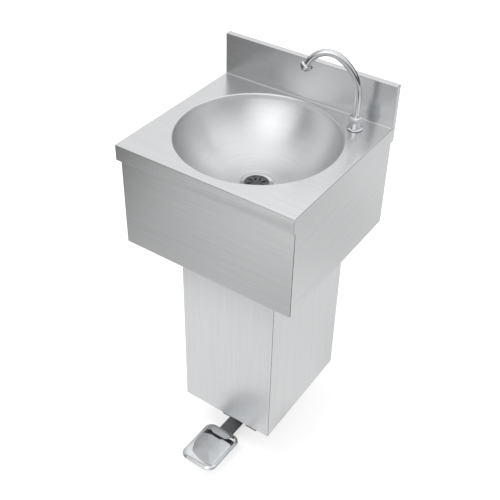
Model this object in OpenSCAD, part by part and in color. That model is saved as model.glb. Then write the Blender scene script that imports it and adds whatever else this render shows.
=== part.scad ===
// Wall-fixed hand wash sink in stainless steel sheet, with a round bowl, a swan-neck spout,
// a pedestal cover and a foot valve that a pedal opens.
// The origin is on the floor, in the middle of the footprint. +X is to the user's right,
// +Y points to the wall and +Z is up. All sizes are in millimetres.

/* [Deck] */
// Width of the sink over its side lips
sink_w = 450; // [450:5:500]
// Depth of the deck from the wall to the front lip
deck_d = 420; // [420:5:460]
// Height of the deck above the floor
deck_h = 900; // [890:5:940]
// Thickness of the sheet steel
sheet_t = 1.2; // [1:0.1:1.5]
// Outer radius of the folded edges
fold_r = 2; // [1.8:0.1:3]
// Height of the folded lip round the deck
lip_h = 38; // [30:1:50]
// Inward hem at the foot of the lip
lip_hem = 3; // [2:0.5:3.5]

/* [Splashback] */
// Height of the splashback above the deck
splash_h = 104; // [90:1:108]
// Depth of the splashback from its face to the wall
splash_t = 15; // [14:1:18]

/* [Bowl] */
// Diameter of the bowl where its rim meets the deck
bowl_d = 376; // [360:2:376]
// Share of the deck's spare depth that lies behind the bowl
bowl_share = 0.25; // [0.2:0.05:0.5]
// Depth of the bowl at the waste
bowl_depth = 124; // [110:2:134]
// Thickness of the pressed bowl
bowl_t = 1; // [0.8:0.1:1.2]
// Radius of the rolled rim
rim_r = 3.5; // [2.5:0.5:5]
// Height of the straight band under the rolled rim
rim_band = 7; // [4:1:10]
// Angle of the straight band, 90 is upright
band_angle = 88; // [84:1:89]
// Angle of the bowl's side below the band
side_angle = 75; // [65:1:80]
// Fall of the bowl's floor towards the waste in degrees
floor_fall = 8; // [5:1:12]

/* [Apron] */
// Height from the deck to the foot of the apron
apron_h = 266; // [256:2:290]
// Step from the side lip to the apron's side
apron_side_in = 5; // [4.8:0.1:8]
// Step from the front lip to the apron's front
apron_front_in = 11; // [9:1:11]
// Width of the folded return at the foot of each apron panel
apron_return = 15; // [10:1:20]
// Width of the welding flange at the top of each apron panel
apron_flange = 8; // [6:0.5:8]

/* [Wall fixing] */
// Half length of the hanging rail
rail_half = 190; // [180:2:194]
// Height of the rail's back plate
rail_plate_h = 70; // [60:2:90]
// Thickness of the rail
rail_t = 3; // [2.5:0.5:4]
// Depth from the deck to the rail's shelf
rail_drop = 28; // [24:1:34]
// Thickness of the hook angle that is welded under the deck
hook_t = 2; // [1.5:0.5:2.5]
// Width of the slot in the rail that the hook angle drops into
hook_slot = 14; // [13:0.5:15]
// Upstand at the front of the rail's shelf
rail_upstand = 14; // [10:1:16]
// Distance between the rail's wall holes along the rail
rail_hole_x = 340; // [300:5:350]
// Distance between the two rows of wall holes
rail_hole_z = 32; // [26:1:36]
// Radius of the wall holes
wall_hole_r = 4.5; // [3.5:0.5:5.5]

/* [Pedestal] */
// Width of the pedestal cover
ped_w = 260; // [250:2:280]
// Depth of the pedestal cover from the wall
ped_d = 325; // [318:1:340]
// Height of the pedestal's foot above the floor
ped_foot = 95; // [92:1:105]
// Length of the pedestal hidden inside the apron
ped_overlap = 26; // [20:1:40]
// Width of the returns folded on the pedestal's panels
ped_return = 18; // [16:1:22]
// Open seam between the pedestal's front and its sides
ped_seam = 0.8; // [0.3:0.1:0.9]
// Height of the crossbar at the top of the pedestal
crossbar_h = 20; // [16:1:24]
// Distance from the foot of the pedestal to its lower wall holes
ped_hole_low = 85; // [60:5:100]
// Distance between the pedestal's lower and upper wall holes
ped_hole_z = 380; // [300:5:400]

/* [Tap] */
// Distance of the tap's axis from the deck's side
tap_side = 68; // [60:1:71]
// Distance of the tap's axis from the wall
tap_wall = 62; // [58:1:66]
// Outer diameter of the spout tube
spout_d = 16; // [14:0.5:16]
// Wall of the spout tube
spout_wall = 1.2; // [1:0.1:1.5]
// Height of the straight riser above the deck
spout_rise = 78; // [70:1:100]
// Radius of the first, wide bend of the spout
bend_1_r = 105; // [90:1:110]
// Turn of the first bend in degrees
bend_1_a = 57; // [50:1:62]
// Radius of the second, tight bend
bend_2_r = 43; // [38:1:50]
// Turn of the second bend in degrees
bend_2_a = 96; // [90:1:110]
// Straight end of the tube after the bends
spout_end = 14; // [12:1:24]
// Turn of the resting spout forward from the wall's direction
spout_turn = 20; // [0:1:45]
// Diameter of the tap's round foot
tap_foot_d = 35; // [32:0.5:38]
// Thickness of the tap's round foot
tap_foot_t = 4; // [3:0.5:5]
// Diameter of the tap body above its foot
tap_body_d = 26; // [25:0.5:28]
// Height of the tap body with its foot
tap_body_h = 19; // [18:0.5:24]
// Hexagon of the spout nut across its flats
spout_nut_af = 27; // [26:0.5:30]
// Height of the spout nut
spout_nut_h = 12; // [10:0.5:16]
// Diameter of the ring nut at the spout's tip
tip_nut_d = 27; // [24:0.5:30]
// Height of the ring nut at the spout's tip
tip_nut_h = 8; // [6:0.5:10]
// Diameter of the nozzle below the ring nut
nozzle_d = 17; // [15:0.5:20]
// Length of the nozzle below the ring nut
nozzle_h = 8; // [5:0.5:12]
// Diameter of the threaded shank below the deck
shank_d = 20; // [18:0.5:21]
// Length of the shank below the deck
shank_l = 60; // [50:1:70]
// Bore of the shank
shank_bore = 10; // [8:0.5:11]
// Thickness of the rubber ring under the tap's foot
tap_gasket_t = 1; // [0.8:0.1:2]
// Thickness of the washer under the deck
tap_washer_t = 2; // [1.5:0.5:3]
// Thickness of the nut that clamps the tap
backnut_t = 7; // [5:0.5:9]

/* [Waste] */
// Diameter of the waste flange in the bowl
waste_d = 75; // [70:1:80]
// Thickness of the waste flange's edge
waste_edge = 3.5; // [3.5:0.5:5]
// Diameter of the strainer
grate_d = 57; // [52:1:60]
// Thickness of the strainer
grate_t = 2; // [1.5:0.5:2.5]
// Number of petal slots in the strainer
petals = 8; // [6:1:10]
// Outer diameter of the waste's threaded tail
tail_d = 45; // [42:0.5:46]
// Wall of the threaded tail
tail_wall = 2.5; // [2:0.25:3]
// Length of the threaded tail
tail_l = 57; // [50:1:64]
// Thickness of the seals above and below the bowl
waste_seal_t = 3; // [2:0.5:4]
// Thickness of the waste's back nut
waste_nut_t = 10; // [8:1:14]
// Diameter of the grate screw
grate_screw_d = 6; // [5:0.5:6]

/* [Trap] */
// Outer diameter of the waste pipes
pipe_d = 40; // [38:0.5:40]
// Wall of the waste pipes
pipe_wall = 1.8; // [1.5:0.1:2]
// Outer diameter of the bottle
bottle_d = 72; // [70:1:80]
// Wall of the bottle
bottle_wall = 2.5; // [2:0.25:3]
// Height of the bottle's upper part
bottle_h = 86; // [80:2:100]
// Drop from the waste's tail to the top of the bottle
bottle_drop = 60; // [56:2:76]
// Height of the screwed cup below the bottle
cup_h = 42; // [36:1:50]
// Depth of the outlet's axis below the bottle's top
outlet_drop = 28; // [27:1:32]
// Distance from the bottle's axis to the mouth of its outlet
outlet_reach = 58; // [54:1:66]

/* [Foot valve] */
// Distance of the pedal's pivot from the wall
pivot_wall = 250; // [246:1:254]
// Height of the pedal's pivot above the floor
pivot_h = 20; // [19:0.5:24]
// Diameter of the pivot pin
pin_d = 10; // [8:0.5:12]
// Distance from the pivot back to the valve stem
stem_arm = 40; // [36:1:44]
// Width between the bracket's cheeks
cheek_gap = 44; // [43:0.5:48]
// Thickness of the bracket's plate
bracket_t = 3; // [2.5:0.5:4]
// Half width of the bracket's floor flanges
bracket_half = 55; // [52:1:60]
// Height of the bracket's bridge
bridge_h = 80; // [78:1:86]
// Length of the bridge round the valve
bridge_l = 56; // [50:1:60]
// Distance between the floor holes across the bracket
floor_hole_x = 84; // [80:1:88]
// Distance between the floor holes along the bracket
floor_hole_y = 70; // [64:1:72]
// Diameter of the valve body
valve_d = 40; // [38:1:44]
// Height of the valve body above the bridge
valve_h = 66; // [64:1:74]
// Diameter of the valve stem
stem_d = 8; // [7:0.5:9]
// Height of the valve's outlet above the bridge
outlet_h = 13; // [12:0.5:14]
// Height of the valve's inlet above the bridge
inlet_h = 44; // [42:1:46]
// Reach of the valve's inlet and outlet from its axis
port_reach = 36; // [34:1:40]
// Outer diameter of the inlet pipe
inlet_pipe_d = 15; // [14:0.5:16]
// Outer diameter of the riser pipe
riser_pipe_d = 12; // [10:0.5:12]
// Wall of the two copper pipes
copper_wall = 1; // [0.8:0.1:1.2]
// Distance of the riser pipe's upright from the pedestal's side
riser_side = 30; // [22:1:34]
// Height of the riser's level run below the deck
riser_drop = 205; // [200:1:214]
// Radius of the bends in the riser pipe, on its axis
riser_bend = 20; // [16:1:24]

/* [Pedal] */
// Length of the lever from the pivot to the tip of the pad
lever_reach = 216; // [208:1:224]
// Rest angle of the pedal above level in degrees, half of its travel
pedal_tilt = 3.5; // [3:0.25:4]
// Width of the flat lever
lever_w = 40; // [36:1:42]
// Thickness of the flat lever
lever_t = 6; // [5:0.5:8]
// Width of the pad
pad_w = 104; // [96:1:110]
// Length of the pad
pad_l = 136; // [124:1:140]
// Height of the pad's edge
pad_edge_h = 10; // [9:0.5:12]
// Radius of the pad's corners
pad_corner_r = 24; // [20:1:28]
// Radius of the pad's upper edge
pad_edge_r = 5; // [3:0.5:6]
// Height of the raised field on the pad
pad_field_h = 2.5; // [1.5:0.5:3]
// Width of the border round the raised field
pad_border = 9; // [7:0.5:12]

/* [Clearances] */
// Running clearance of pins, stems and the spout, on the radius
run_gap = 0.06; // [0.03:0.01:0.09]
// Clearance of threads and of pipes in their seals, on the radius
thread_gap = 0.1; // [0.05:0.01:0.15]
// Free space that separates parts that move past each other
free_gap = 0.3; // [0.2:0.05:0.4]

/* [Hidden] */
$fn = 96;
eps = 1;
bend_lap = 0.5;
bend_step = 0.05;

// Places measured from the wall
tip_y = lever_reach * cos(pedal_tilt) - lever_t / 2 * sin(pedal_tilt);
total_d = pivot_wall + tip_y;
wall_y = total_d / 2;
function from_wall(d) = wall_y - d;

deck_front = from_wall(deck_d);
splash_y = from_wall(splash_t);
under_deck = deck_h - sheet_t;
bowl_r = bowl_d / 2;
bowl_y = from_wall(splash_t + bowl_share * (deck_d - splash_t - bowl_d) + bowl_r);
apron_x = sink_w / 2 - apron_side_in;
apron_y = deck_front + apron_front_in;
apron_z = deck_h - apron_h;
ped_y = from_wall(ped_d);
ped_x = ped_w / 2;
ped_top = apron_z + ped_overlap;
cover_x = ped_x - sheet_t - free_gap;
cover_hook = 12;
bar_y = ped_y + ped_return + free_gap;
hook_back = bar_y + hook_t + free_gap;
ped_hole_x = ped_x - ped_return / 2;
screw_r = 2;

// Hanging rail and hook
shelf_z = deck_h - rail_drop;
hook_y = from_wall(hook_slot);
rail_low = shelf_z - rail_plate_h;
rail_hole_low = rail_low + (rail_plate_h - rail_hole_z) / 2;

// Tap and spout
tap_x = sink_w / 2 - tap_side;
tap_y = from_wall(tap_wall);
spout_r = spout_d / 2;
tap_base_z = deck_h + tap_gasket_t;
socket_h = 12;
collar_r = spout_r + 1.8;
collar_h = 2;
theta_1 = 180 - bend_1_a;
theta_2 = theta_1 - bend_2_a;
bend_1_c = [bend_1_r, spout_rise];
bend_2_c = bend_1_c + (bend_1_r - bend_2_r) * [cos(theta_1), sin(theta_1)];
bend_2_end = bend_2_c + bend_2_r * [cos(theta_2), sin(theta_2)];
shank_r = shank_d / 2;
shank_foot = deck_h - shank_l;
cord_r = 1;
cord_mid = cord_r + 0.1;
groove = 2 * cord_r + 0.15;

// Waste and trap
waste_r = waste_d / 2;
waste_top = deck_h - bowl_depth;
seat_z = waste_top - waste_edge;
seat_r = waste_r + 0.5;
tail_r = tail_d / 2;
bowl_hole_r = tail_r + 1;
grate_r = grate_d / 2;
grate_seat = grate_r + 0.3;
waste_under = seat_z - bowl_t;
cross_w = 6;
cross_h = 8;
cross_z = seat_z - 16;
tail_foot = seat_z - tail_l;
pipe_r = pipe_d / 2;
inlet_shelf = tail_foot - waste_seal_t - 2;
bottle_r = bottle_d / 2;
bottle_top = tail_foot - bottle_drop;
bottle_foot = bottle_top - bottle_h;
outlet_z = bottle_top - outlet_drop;
neck_r = pipe_r + 4;
neck_h = 16;
seal_t = 3;
cup_seal_t = 1.8;
slip_nut_h = 18;
slip_shelf = 5;
slip_nut_start = seal_t + slip_shelf - slip_nut_h;
socket_l = 14;
outlet_tail_r = pipe_r - 0.6;

// Foot valve
pivot_y = from_wall(pivot_wall);
stem_y = pivot_y + stem_arm;
stem_r = stem_d / 2;
valve_r = valve_d / 2;
valve_top = bridge_h + valve_h;
valve_outlet = bridge_h + outlet_h;
valve_inlet = bridge_h + inlet_h;
seat_low = bridge_h + 22;
seat_t = 3;
seat_rim = seat_low + seat_t;
disc_t = 4;
seat_washer_t = 3;
spigot_r = 12;
spigot_l = 14;
spring_low = seat_rim + 0.1 + seat_washer_t + disc_t;
bonnet_plug = 12;
spring_top = valve_top - bonnet_plug + 8;
stem_ball = pivot_h + (lever_t / 2 + stem_r + free_gap - stem_arm * sin(pedal_tilt)) / cos(pedal_tilt);
inlet_pipe_r = inlet_pipe_d / 2;
riser_r = riser_pipe_d / 2;
riser_x = ped_x - riser_side;
riser_z = deck_h - riser_drop;
riser_turn = atan2(tap_y - stem_y, tap_x - riser_x);
riser_run = norm([tap_x - riser_x, tap_y - stem_y]);
nut_h = 12;
chamber_r = valve_r - 7;
disc_r = 9;
inlet_port_r = 11;
outlet_port_r = 9.5;
bracket_nose = 14;
bracket_tail = 38;
cheek_step = 22;
pin_r = pin_d / 2;
clip_x = cheek_gap / 2 + bracket_t + 0.2;
clip_t = 1;
pad_back = lever_reach - pad_l;
pad_screw_in = 22;
pad_screw_pitch = 40;
pad_screw_y = [pad_back + pad_screw_in, pad_back + pad_screw_in + pad_screw_pitch];
pad_screw_r = 2.5;

// Bowl: points [r, z, lean] down the inner face, lean 0 is level and 90 is upright
wall_foot_r = bowl_r - rim_r * sin(band_angle) - rim_band * cos(band_angle);
wall_foot_z = -rim_r * (1 - cos(band_angle)) - rim_band * sin(band_angle);
side_rise = cos(floor_fall) - cos(side_angle);
side_run = sin(side_angle) - sin(floor_fall);
side_r = (bowl_depth + wall_foot_z - (wall_foot_r - seat_r) * tan(floor_fall))
    / (side_rise - side_run * tan(floor_fall));
rim_points = [for (i = [0:8]) let (a = band_angle * i / 8)
    [bowl_r - rim_r * sin(a), -rim_r * (1 - cos(a)), a]];
side_points = [for (i = [0:16]) let (a = side_angle + (floor_fall - side_angle) * i / 16)
    [wall_foot_r - side_r * (sin(side_angle) - sin(a)),
     wall_foot_z - side_r * (cos(a) - cos(side_angle)), a]];
back_points = concat(rim_points, [[wall_foot_r, wall_foot_z, band_angle]], side_points);
bowl_outline = concat(
    [for (p = concat(rim_points, side_points)) [p[0], p[1]]],
    [[seat_r, -bowl_depth], [seat_r, -bowl_depth - waste_edge]],
    [[bowl_hole_r, -bowl_depth - waste_edge], [bowl_hole_r, -bowl_depth - waste_edge - bowl_t]],
    [[seat_r + bowl_t, -bowl_depth - waste_edge - bowl_t]],
    [for (i = [len(back_points) - 1:-1:0]) let (p = back_points[i])
        [p[0] + bowl_t * sin(p[2]), p[1] - bowl_t * cos(p[2])]]);

// Shapes that repeat
module ring(r_out, r_in, h) {
    difference() {
        cylinder(r = r_out, h = h);
        translate([0, 0, -eps]) cylinder(r = r_in, h = h + 2 * eps);
    }
}

module hexagon(af, h) {
    cylinder(r = af / sqrt(3), h = h, $fn = 6);
}

module hex_nut(af, h, bore) {
    difference() {
        hexagon(af, h);
        translate([0, 0, -eps]) cylinder(r = bore, h = h + 2 * eps);
    }
}

// A lobed nut, as moulded plastic slip nuts are
module grip_nut(r_out, h, bore_low, bore_high, shelf) {
    lobes = 12;
    difference() {
        cylinder(r = r_out, h = h);
        for (i = [0:lobes - 1]) rotate([0, 0, i * 360 / lobes])
            translate([r_out + 2, 0, -eps]) cylinder(r = 3.2, h = h + 2 * eps, $fn = 32);
        translate([0, 0, -eps]) cylinder(r = bore_low, h = h + 2 * eps);
        translate([0, 0, shelf]) cylinder(r = bore_high, h = h);
    }
}

module o_ring(r_mid, r_cord) {
    rotate_extrude() translate([r_mid, 0]) circle(r = r_cord, $fn = 32);
}

// A bend of tube about Z. Both its ends reach a little way into the stretches that it joins,
// and it is slimmer by step, so that the stretches unite to one solid.
module tube_bend(bend, angle, r_out, r_in, step = bend_step) {
    rotate([0, 0, -bend_lap]) rotate_extrude(angle = angle + 2 * bend_lap)
        translate([bend, 0]) difference() {
            circle(r = r_out - step, $fn = 48);
            circle(r = r_in + step, $fn = 48);
        }
}

// A straight length of tube along +Z
module tube_line(len, r_out, r_in) {
    linear_extrude(len) difference() {
        circle(r = r_out, $fn = 48);
        circle(r = r_in, $fn = 48);
    }
}

module both_sides() {
    children();
    mirror([1, 0, 0]) children();
}

// Deck, lips and splashback
module deck_block(w, front, back, h) {
    r = fold_r;
    d = back - front;
    translate([0, front, deck_h - h]) {
        translate([-w / 2 + r, r, 0]) cube([w - 2 * r, d - r, h]);
        translate([-w / 2, r, 0]) cube([w, d - r, h - r]);
        translate([-w / 2 + r, 0, 0]) cube([w - 2 * r, r + eps, h - r]);
        translate([-w / 2 + r, r, h - r]) rotate([0, 90, 0]) cylinder(r = r, h = w - 2 * r);
        for (x = [-w / 2 + r, w / 2 - r]) {
            translate([x, r, h - r]) rotate([-90, 0, 0]) cylinder(r = r, h = d - r);
            translate([x, r, 0]) cylinder(r = r, h = h - r);
            translate([x, r, h - r]) sphere(r = r);
        }
    }
}

module deck_top() {
    inner_w = sink_w - 2 * sheet_t;
    color("gainsboro") difference() {
        deck_block(sink_w, deck_front, wall_y, lip_h);
        translate([-inner_w / 2, deck_front + sheet_t, deck_h - lip_h + sheet_t])
            cube([inner_w, deck_d, lip_h - 2 * sheet_t]);
        translate([-inner_w / 2 + lip_hem, deck_front + sheet_t + lip_hem, deck_h - lip_h - eps])
            cube([inner_w - 2 * lip_hem, deck_d, sheet_t + 2 * eps]);
        translate([0, bowl_y, deck_h - 2 * sheet_t]) cylinder(r = bowl_r, h = 3 * sheet_t, $fn = 180);
        translate([tap_x, tap_y, deck_h - 2 * sheet_t]) cylinder(r = shank_r + 1, h = 3 * sheet_t);
    }
}

module splashback() {
    w = sink_w;
    r = fold_r;
    color("silver") difference() {
        union() {
            translate([-w / 2, splash_y + r, deck_h]) cube([w, splash_t - r, splash_h - r]);
            translate([-w / 2 + r, splash_y, deck_h]) cube([w - 2 * r, splash_t, splash_h - r]);
            translate([-w / 2 + r, splash_y + r, deck_h]) cube([w - 2 * r, splash_t - r, splash_h]);
            translate([-w / 2 + r, splash_y + r, deck_h + splash_h - r])
                rotate([0, 90, 0]) cylinder(r = r, h = w - 2 * r);
            for (x = [-w / 2 + r, w / 2 - r]) {
                translate([x, splash_y + r, deck_h]) cylinder(r = r, h = splash_h - r);
                translate([x, splash_y + r, deck_h + splash_h - r])
                    rotate([-90, 0, 0]) cylinder(r = r, h = splash_t - r);
                translate([x, splash_y + r, deck_h + splash_h - r]) sphere(r = r);
            }
        }
        translate([-w / 2 + sheet_t, splash_y + sheet_t, deck_h - eps])
            cube([w - 2 * sheet_t, splash_t, splash_h - sheet_t + eps]);
    }
}

module bowl() {
    color("lightgray") translate([0, bowl_y, deck_h]) rotate_extrude($fn = 180) polygon(bowl_outline);
}

// Apron panels hang from the underside of the deck
module apron_front() {
    h = under_deck - apron_z;
    inner_w = 2 * (apron_x - sheet_t);
    color("darkgray") translate([-apron_x, apron_y, apron_z]) {
        cube([2 * apron_x, sheet_t, h]);
        translate([sheet_t, 0, 0]) cube([inner_w, apron_return, sheet_t]);
        translate([sheet_t, 0, h - sheet_t]) cube([inner_w, apron_flange, sheet_t]);
    }
}

module apron_side() {
    h = under_deck - apron_z;
    start = apron_y + sheet_t;
    inner_start = apron_y + apron_return;
    length = wall_y - start;
    translate([apron_x - sheet_t, start, apron_z]) cube([sheet_t, length, h]);
    translate([apron_x - apron_return, inner_start, apron_z])
        cube([apron_return, wall_y - inner_start, sheet_t]);
    translate([apron_x - apron_flange, inner_start, under_deck - sheet_t])
        cube([apron_flange, splash_y - inner_start - splash_t, sheet_t]);
    translate([apron_x - apron_return, wall_y - sheet_t, apron_z])
        cube([apron_return, sheet_t, h - lip_h]);
}

module apron_left() {
    color("silver") mirror([1, 0, 0]) apron_side();
}

module apron_right() {
    color("silver") apron_side();
}

// Wall fixing: an angle under the deck drops into the slot of the rail
module hook_angle() {
    color("gray") translate([-rail_half + 10, 0, 0]) {
        translate([0, hook_y, shelf_z]) cube([2 * rail_half - 20, hook_t, under_deck - shelf_z]);
        translate([0, hook_y, under_deck - hook_t])
            cube([2 * rail_half - 20, hook_slot - sheet_t, hook_t]);
    }
}

module hanging_rail() {
    shelf_front = hook_y - free_gap - rail_t;
    color("dimgray") difference() {
        translate([-rail_half, 0, 0]) {
            translate([0, from_wall(rail_t), rail_low]) cube([2 * rail_half, rail_t, rail_plate_h]);
            translate([0, shelf_front, shelf_z - rail_t])
                cube([2 * rail_half, wall_y - shelf_front, rail_t]);
            translate([0, shelf_front, shelf_z - rail_t])
                cube([2 * rail_half, rail_t, rail_t + rail_upstand]);
        }
        for (x = [-rail_hole_x / 2, rail_hole_x / 2], z = [0, rail_hole_z])
            translate([x, wall_y + eps, rail_hole_low + z])
                rotate([90, 0, 0]) cylinder(r = wall_hole_r, h = rail_t + 2 * eps);
    }
}

// Pedestal: its front hooks over the crossbar and is screwed to two tabs from below
module pedestal_front() {
    h = ped_top - ped_foot;
    color("lightgray") difference() {
        union() {
            translate([-ped_x, ped_y, ped_foot]) cube([ped_w, sheet_t, h]);
            translate([-cover_x, ped_y, ped_foot]) cube([2 * cover_x, ped_return, sheet_t]);
            both_sides() translate([cover_x - sheet_t, ped_y, ped_foot]) cube([sheet_t, ped_return, h]);
            translate([-cover_x, ped_y, ped_top - sheet_t])
                cube([2 * cover_x, hook_back - ped_y + sheet_t, sheet_t]);
            translate([-cover_x, hook_back, ped_top - cover_hook])
                cube([2 * cover_x, sheet_t, cover_hook]);
        }
        at_cover_screws() translate([0, 0, -eps])
            cylinder(r = screw_r + thread_gap, h = sheet_t + 2 * eps, $fn = 32);
    }
}

module at_cover_screws() {
    both_sides() translate([cover_x - ped_return / 2, ped_y + ped_return / 2, ped_foot]) children();
}

module pedestal_side() {
    h = ped_top - ped_foot;
    start = ped_y + sheet_t + ped_seam;
    tab_x = cover_x - sheet_t - ped_return;
    difference() {
        union() {
            translate([ped_x - sheet_t, start, ped_foot]) cube([sheet_t, wall_y - start, h]);
            translate([ped_x - ped_return, wall_y - sheet_t, ped_foot]) cube([ped_return, sheet_t, h]);
            translate([ped_x - ped_return, ped_y + ped_return, ped_foot])
                cube([ped_return, wall_y - ped_y - ped_return, sheet_t]);
            translate([tab_x, ped_y + 2 * sheet_t, ped_foot + sheet_t])
                cube([ped_return, 2 * ped_return, sheet_t]);
            translate([tab_x, ped_y + ped_return, ped_foot]) cube([ped_return, ped_return, 2 * sheet_t]);
        }
        for (z = [ped_hole_low, ped_hole_low + ped_hole_z])
            translate([ped_hole_x, wall_y + eps, ped_foot + z])
                rotate([90, 0, 0]) cylinder(r = wall_hole_r, h = sheet_t + 2 * eps);
        translate([cover_x - ped_return / 2, ped_y + ped_return / 2, ped_foot - eps])
            cylinder(r = screw_r + thread_gap, h = 3 * sheet_t + 2 * eps, $fn = 32);
    }
}

module pedestal_left() {
    color("silver") mirror([1, 0, 0]) pedestal_side();
}

module pedestal_right() {
    color("silver") pedestal_side();
}

module pedestal_crossbar() {
    half = ped_x - sheet_t;
    color("gray") translate([-half, bar_y, ped_top - sheet_t - crossbar_h]) {
        cube([2 * half, hook_t, crossbar_h]);
        cube([2 * half, ped_return, hook_t]);
    }
}

// A socket screw that points up from the origin, with its head below
module socket_screw(r, length, head_r, head_h) {
    cylinder(r = r, h = length, $fn = 32);
    translate([0, 0, -head_h]) difference() {
        cylinder(r = head_r, h = head_h);
        translate([0, 0, -eps]) cylinder(r = 0.7 * r, h = 0.6 * head_h + eps, $fn = 6);
    }
}

module cover_screws() {
    color("silver") at_cover_screws() socket_screw(screw_r, 8, 4, 2.4);
}

// Tap
module at_tap() {
    translate([tap_x, tap_y, 0]) children();
}

module tap_gasket() {
    color("black") at_tap() translate([0, 0, deck_h]) ring(tap_foot_d / 2 - 0.5, shank_r + 1, tap_gasket_t);
}

module tap_body() {
    r = tap_body_d / 2;
    color("silver") at_tap() translate([0, 0, tap_base_z]) difference() {
        union() {
            cylinder(r = tap_foot_d / 2, h = tap_foot_t - 1.5);
            translate([0, 0, tap_foot_t - 1.5]) cylinder(r1 = tap_foot_d / 2, r2 = r + 1.5, h = 1.5);
            translate([0, 0, tap_foot_t]) cylinder(r = r, h = tap_body_h - tap_foot_t);
        }
        translate([0, 0, -eps]) cylinder(r = shank_r + run_gap, h = 5 + eps);
        cylinder(r = shank_bore / 2, h = tap_body_h);
        translate([0, 0, tap_body_h - socket_h]) cylinder(r = spout_r + run_gap, h = socket_h + eps);
        translate([0, 0, tap_body_h - collar_h - free_gap])
            cylinder(r = collar_r + thread_gap, h = collar_h + eps);
        translate([0, 0, tap_body_h - socket_h + 2.5])
            cylinder(r = spout_r + groove, h = 2.2);
    }
}

module spout_o_ring() {
    color("black") at_tap() translate([0, 0, tap_base_z + tap_body_h - socket_h + 3.6])
        o_ring(spout_r + cord_mid, cord_r);
}

module tap_shank() {
    color("goldenrod") at_tap() translate([0, 0, shank_foot])
        ring(shank_r, shank_bore / 2, shank_l + tap_gasket_t + 5);
}

module tap_washer() {
    color("silver") at_tap() translate([0, 0, under_deck - tap_washer_t])
        ring(shank_r + 5, shank_r + thread_gap, tap_washer_t);
}

module tap_backnut() {
    color("goldenrod") at_tap() translate([0, 0, under_deck - tap_washer_t - backnut_t])
        hex_nut(shank_d + 8, backnut_t, shank_r + thread_gap);
}

module spout_nut() {
    z = tap_base_z + tap_body_h;
    color("silver") at_tap() translate([0, 0, z]) difference() {
        intersection() {
            hexagon(spout_nut_af, spout_nut_h);
            union() {
                cylinder(r = spout_nut_af / sqrt(3), h = spout_nut_h - 3);
                translate([0, 0, spout_nut_h - 3])
                    cylinder(r1 = spout_nut_af / sqrt(3), r2 = spout_nut_af / 2 - 2, h = 3);
            }
        }
        translate([0, 0, -eps]) cylinder(r = spout_r + run_gap, h = spout_nut_h + 2 * eps);
    }
}

// The spout's own frame: X towards its tip, Z up, level with the deck
module at_spout() {
    translate([tap_x, tap_y, deck_h]) rotate([0, 0, 180 + spout_turn]) children();
}

module at_spout_tip() {
    at_spout() translate([bend_2_end[0], 0, bend_2_end[1]]) rotate([0, 180 - theta_2, 0]) children();
}

module spout_tube() {
    r_in = spout_r - spout_wall;
    foot = tap_gasket_t + tap_body_h - socket_h + free_gap;
    collar_z = tap_gasket_t + tap_body_h - collar_h - free_gap / 2;
    color("silver") {
        at_spout() {
            translate([0, 0, foot]) tube_line(spout_rise - foot, spout_r, r_in);
            translate([0, 0, collar_z]) ring(collar_r, spout_r - spout_wall / 2, collar_h - free_gap / 2);
            translate([bend_1_c[0], 0, bend_1_c[1]]) rotate([90, 0, 0]) rotate([0, 0, theta_1])
                tube_bend(bend_1_r, bend_1_a, spout_r, r_in);
            translate([bend_2_c[0], 0, bend_2_c[1]]) rotate([90, 0, 0]) rotate([0, 0, theta_2])
                tube_bend(bend_2_r, bend_2_a, spout_r, r_in, 2 * bend_step);
        }
        at_spout_tip() tube_line(spout_end, spout_r, r_in);
    }
}

module spout_ring_nut() {
    color("silver") at_spout_tip() translate([0, 0, spout_end - tip_nut_h / 2])
        difference() {
            union() {
                cylinder(r1 = spout_r + 2, r2 = tip_nut_d / 2, h = 2);
                translate([0, 0, 2]) cylinder(r = tip_nut_d / 2, h = tip_nut_h - 2);
            }
            translate([0, 0, -eps]) cylinder(r = spout_r + run_gap, h = tip_nut_h / 2 + eps);
            cylinder(r = nozzle_d / 2 - 1.5, h = tip_nut_h + eps);
        }
}

module spout_nozzle() {
    r = nozzle_d / 2;
    hole_ring = r - 3.6;
    color("gray") at_spout_tip() translate([0, 0, spout_end + tip_nut_h / 2]) difference() {
        union() {
            cylinder(r = r, h = nozzle_h - 1.5);
            translate([0, 0, nozzle_h - 1.5]) cylinder(r1 = r, r2 = r - 1.5, h = 1.5);
        }
        translate([0, 0, -eps]) cylinder(r = r - 2, h = nozzle_h - 2 + eps);
        translate([0, 0, -eps]) cylinder(r = 1, h = nozzle_h + 2 * eps, $fn = 24);
        for (i = [0:7]) rotate([0, 0, i * 45]) translate([hole_ring, 0, -eps])
            cylinder(r = 0.9, h = nozzle_h + 2 * eps, $fn = 24);
    }
}

// Waste
module at_waste() {
    translate([0, bowl_y, 0]) children();
}

module waste_flange() {
    color("silver") at_waste() difference() {
        union() {
            translate([0, 0, seat_z]) cylinder(r = waste_r, h = waste_edge);
            translate([0, 0, tail_foot]) cylinder(r = tail_r, h = tail_l);
        }
        translate([0, 0, waste_top - grate_t]) cylinder(r = grate_seat, h = grate_t + eps);
        difference() {
            translate([0, 0, tail_foot - eps]) cylinder(r = tail_r - tail_wall, h = tail_l + waste_edge);
            translate([-tail_r, -cross_w / 2, cross_z]) cube([tail_d, cross_w, cross_h]);
            translate([0, 0, cross_z]) cylinder(r = cross_w, h = cross_h);
        }
        translate([0, 0, cross_z - eps]) cylinder(r = grate_screw_d / 2 + thread_gap, h = cross_h + 2 * eps);
    }
}

module petal() {
    inner = 5.5;
    outer = grate_r - 7;
    width = 3.6;
    polygon([[inner, 0], [outer, -width], [outer, width]]);
    translate([outer, 0]) circle(r = width, $fn = 32);
}

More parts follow.
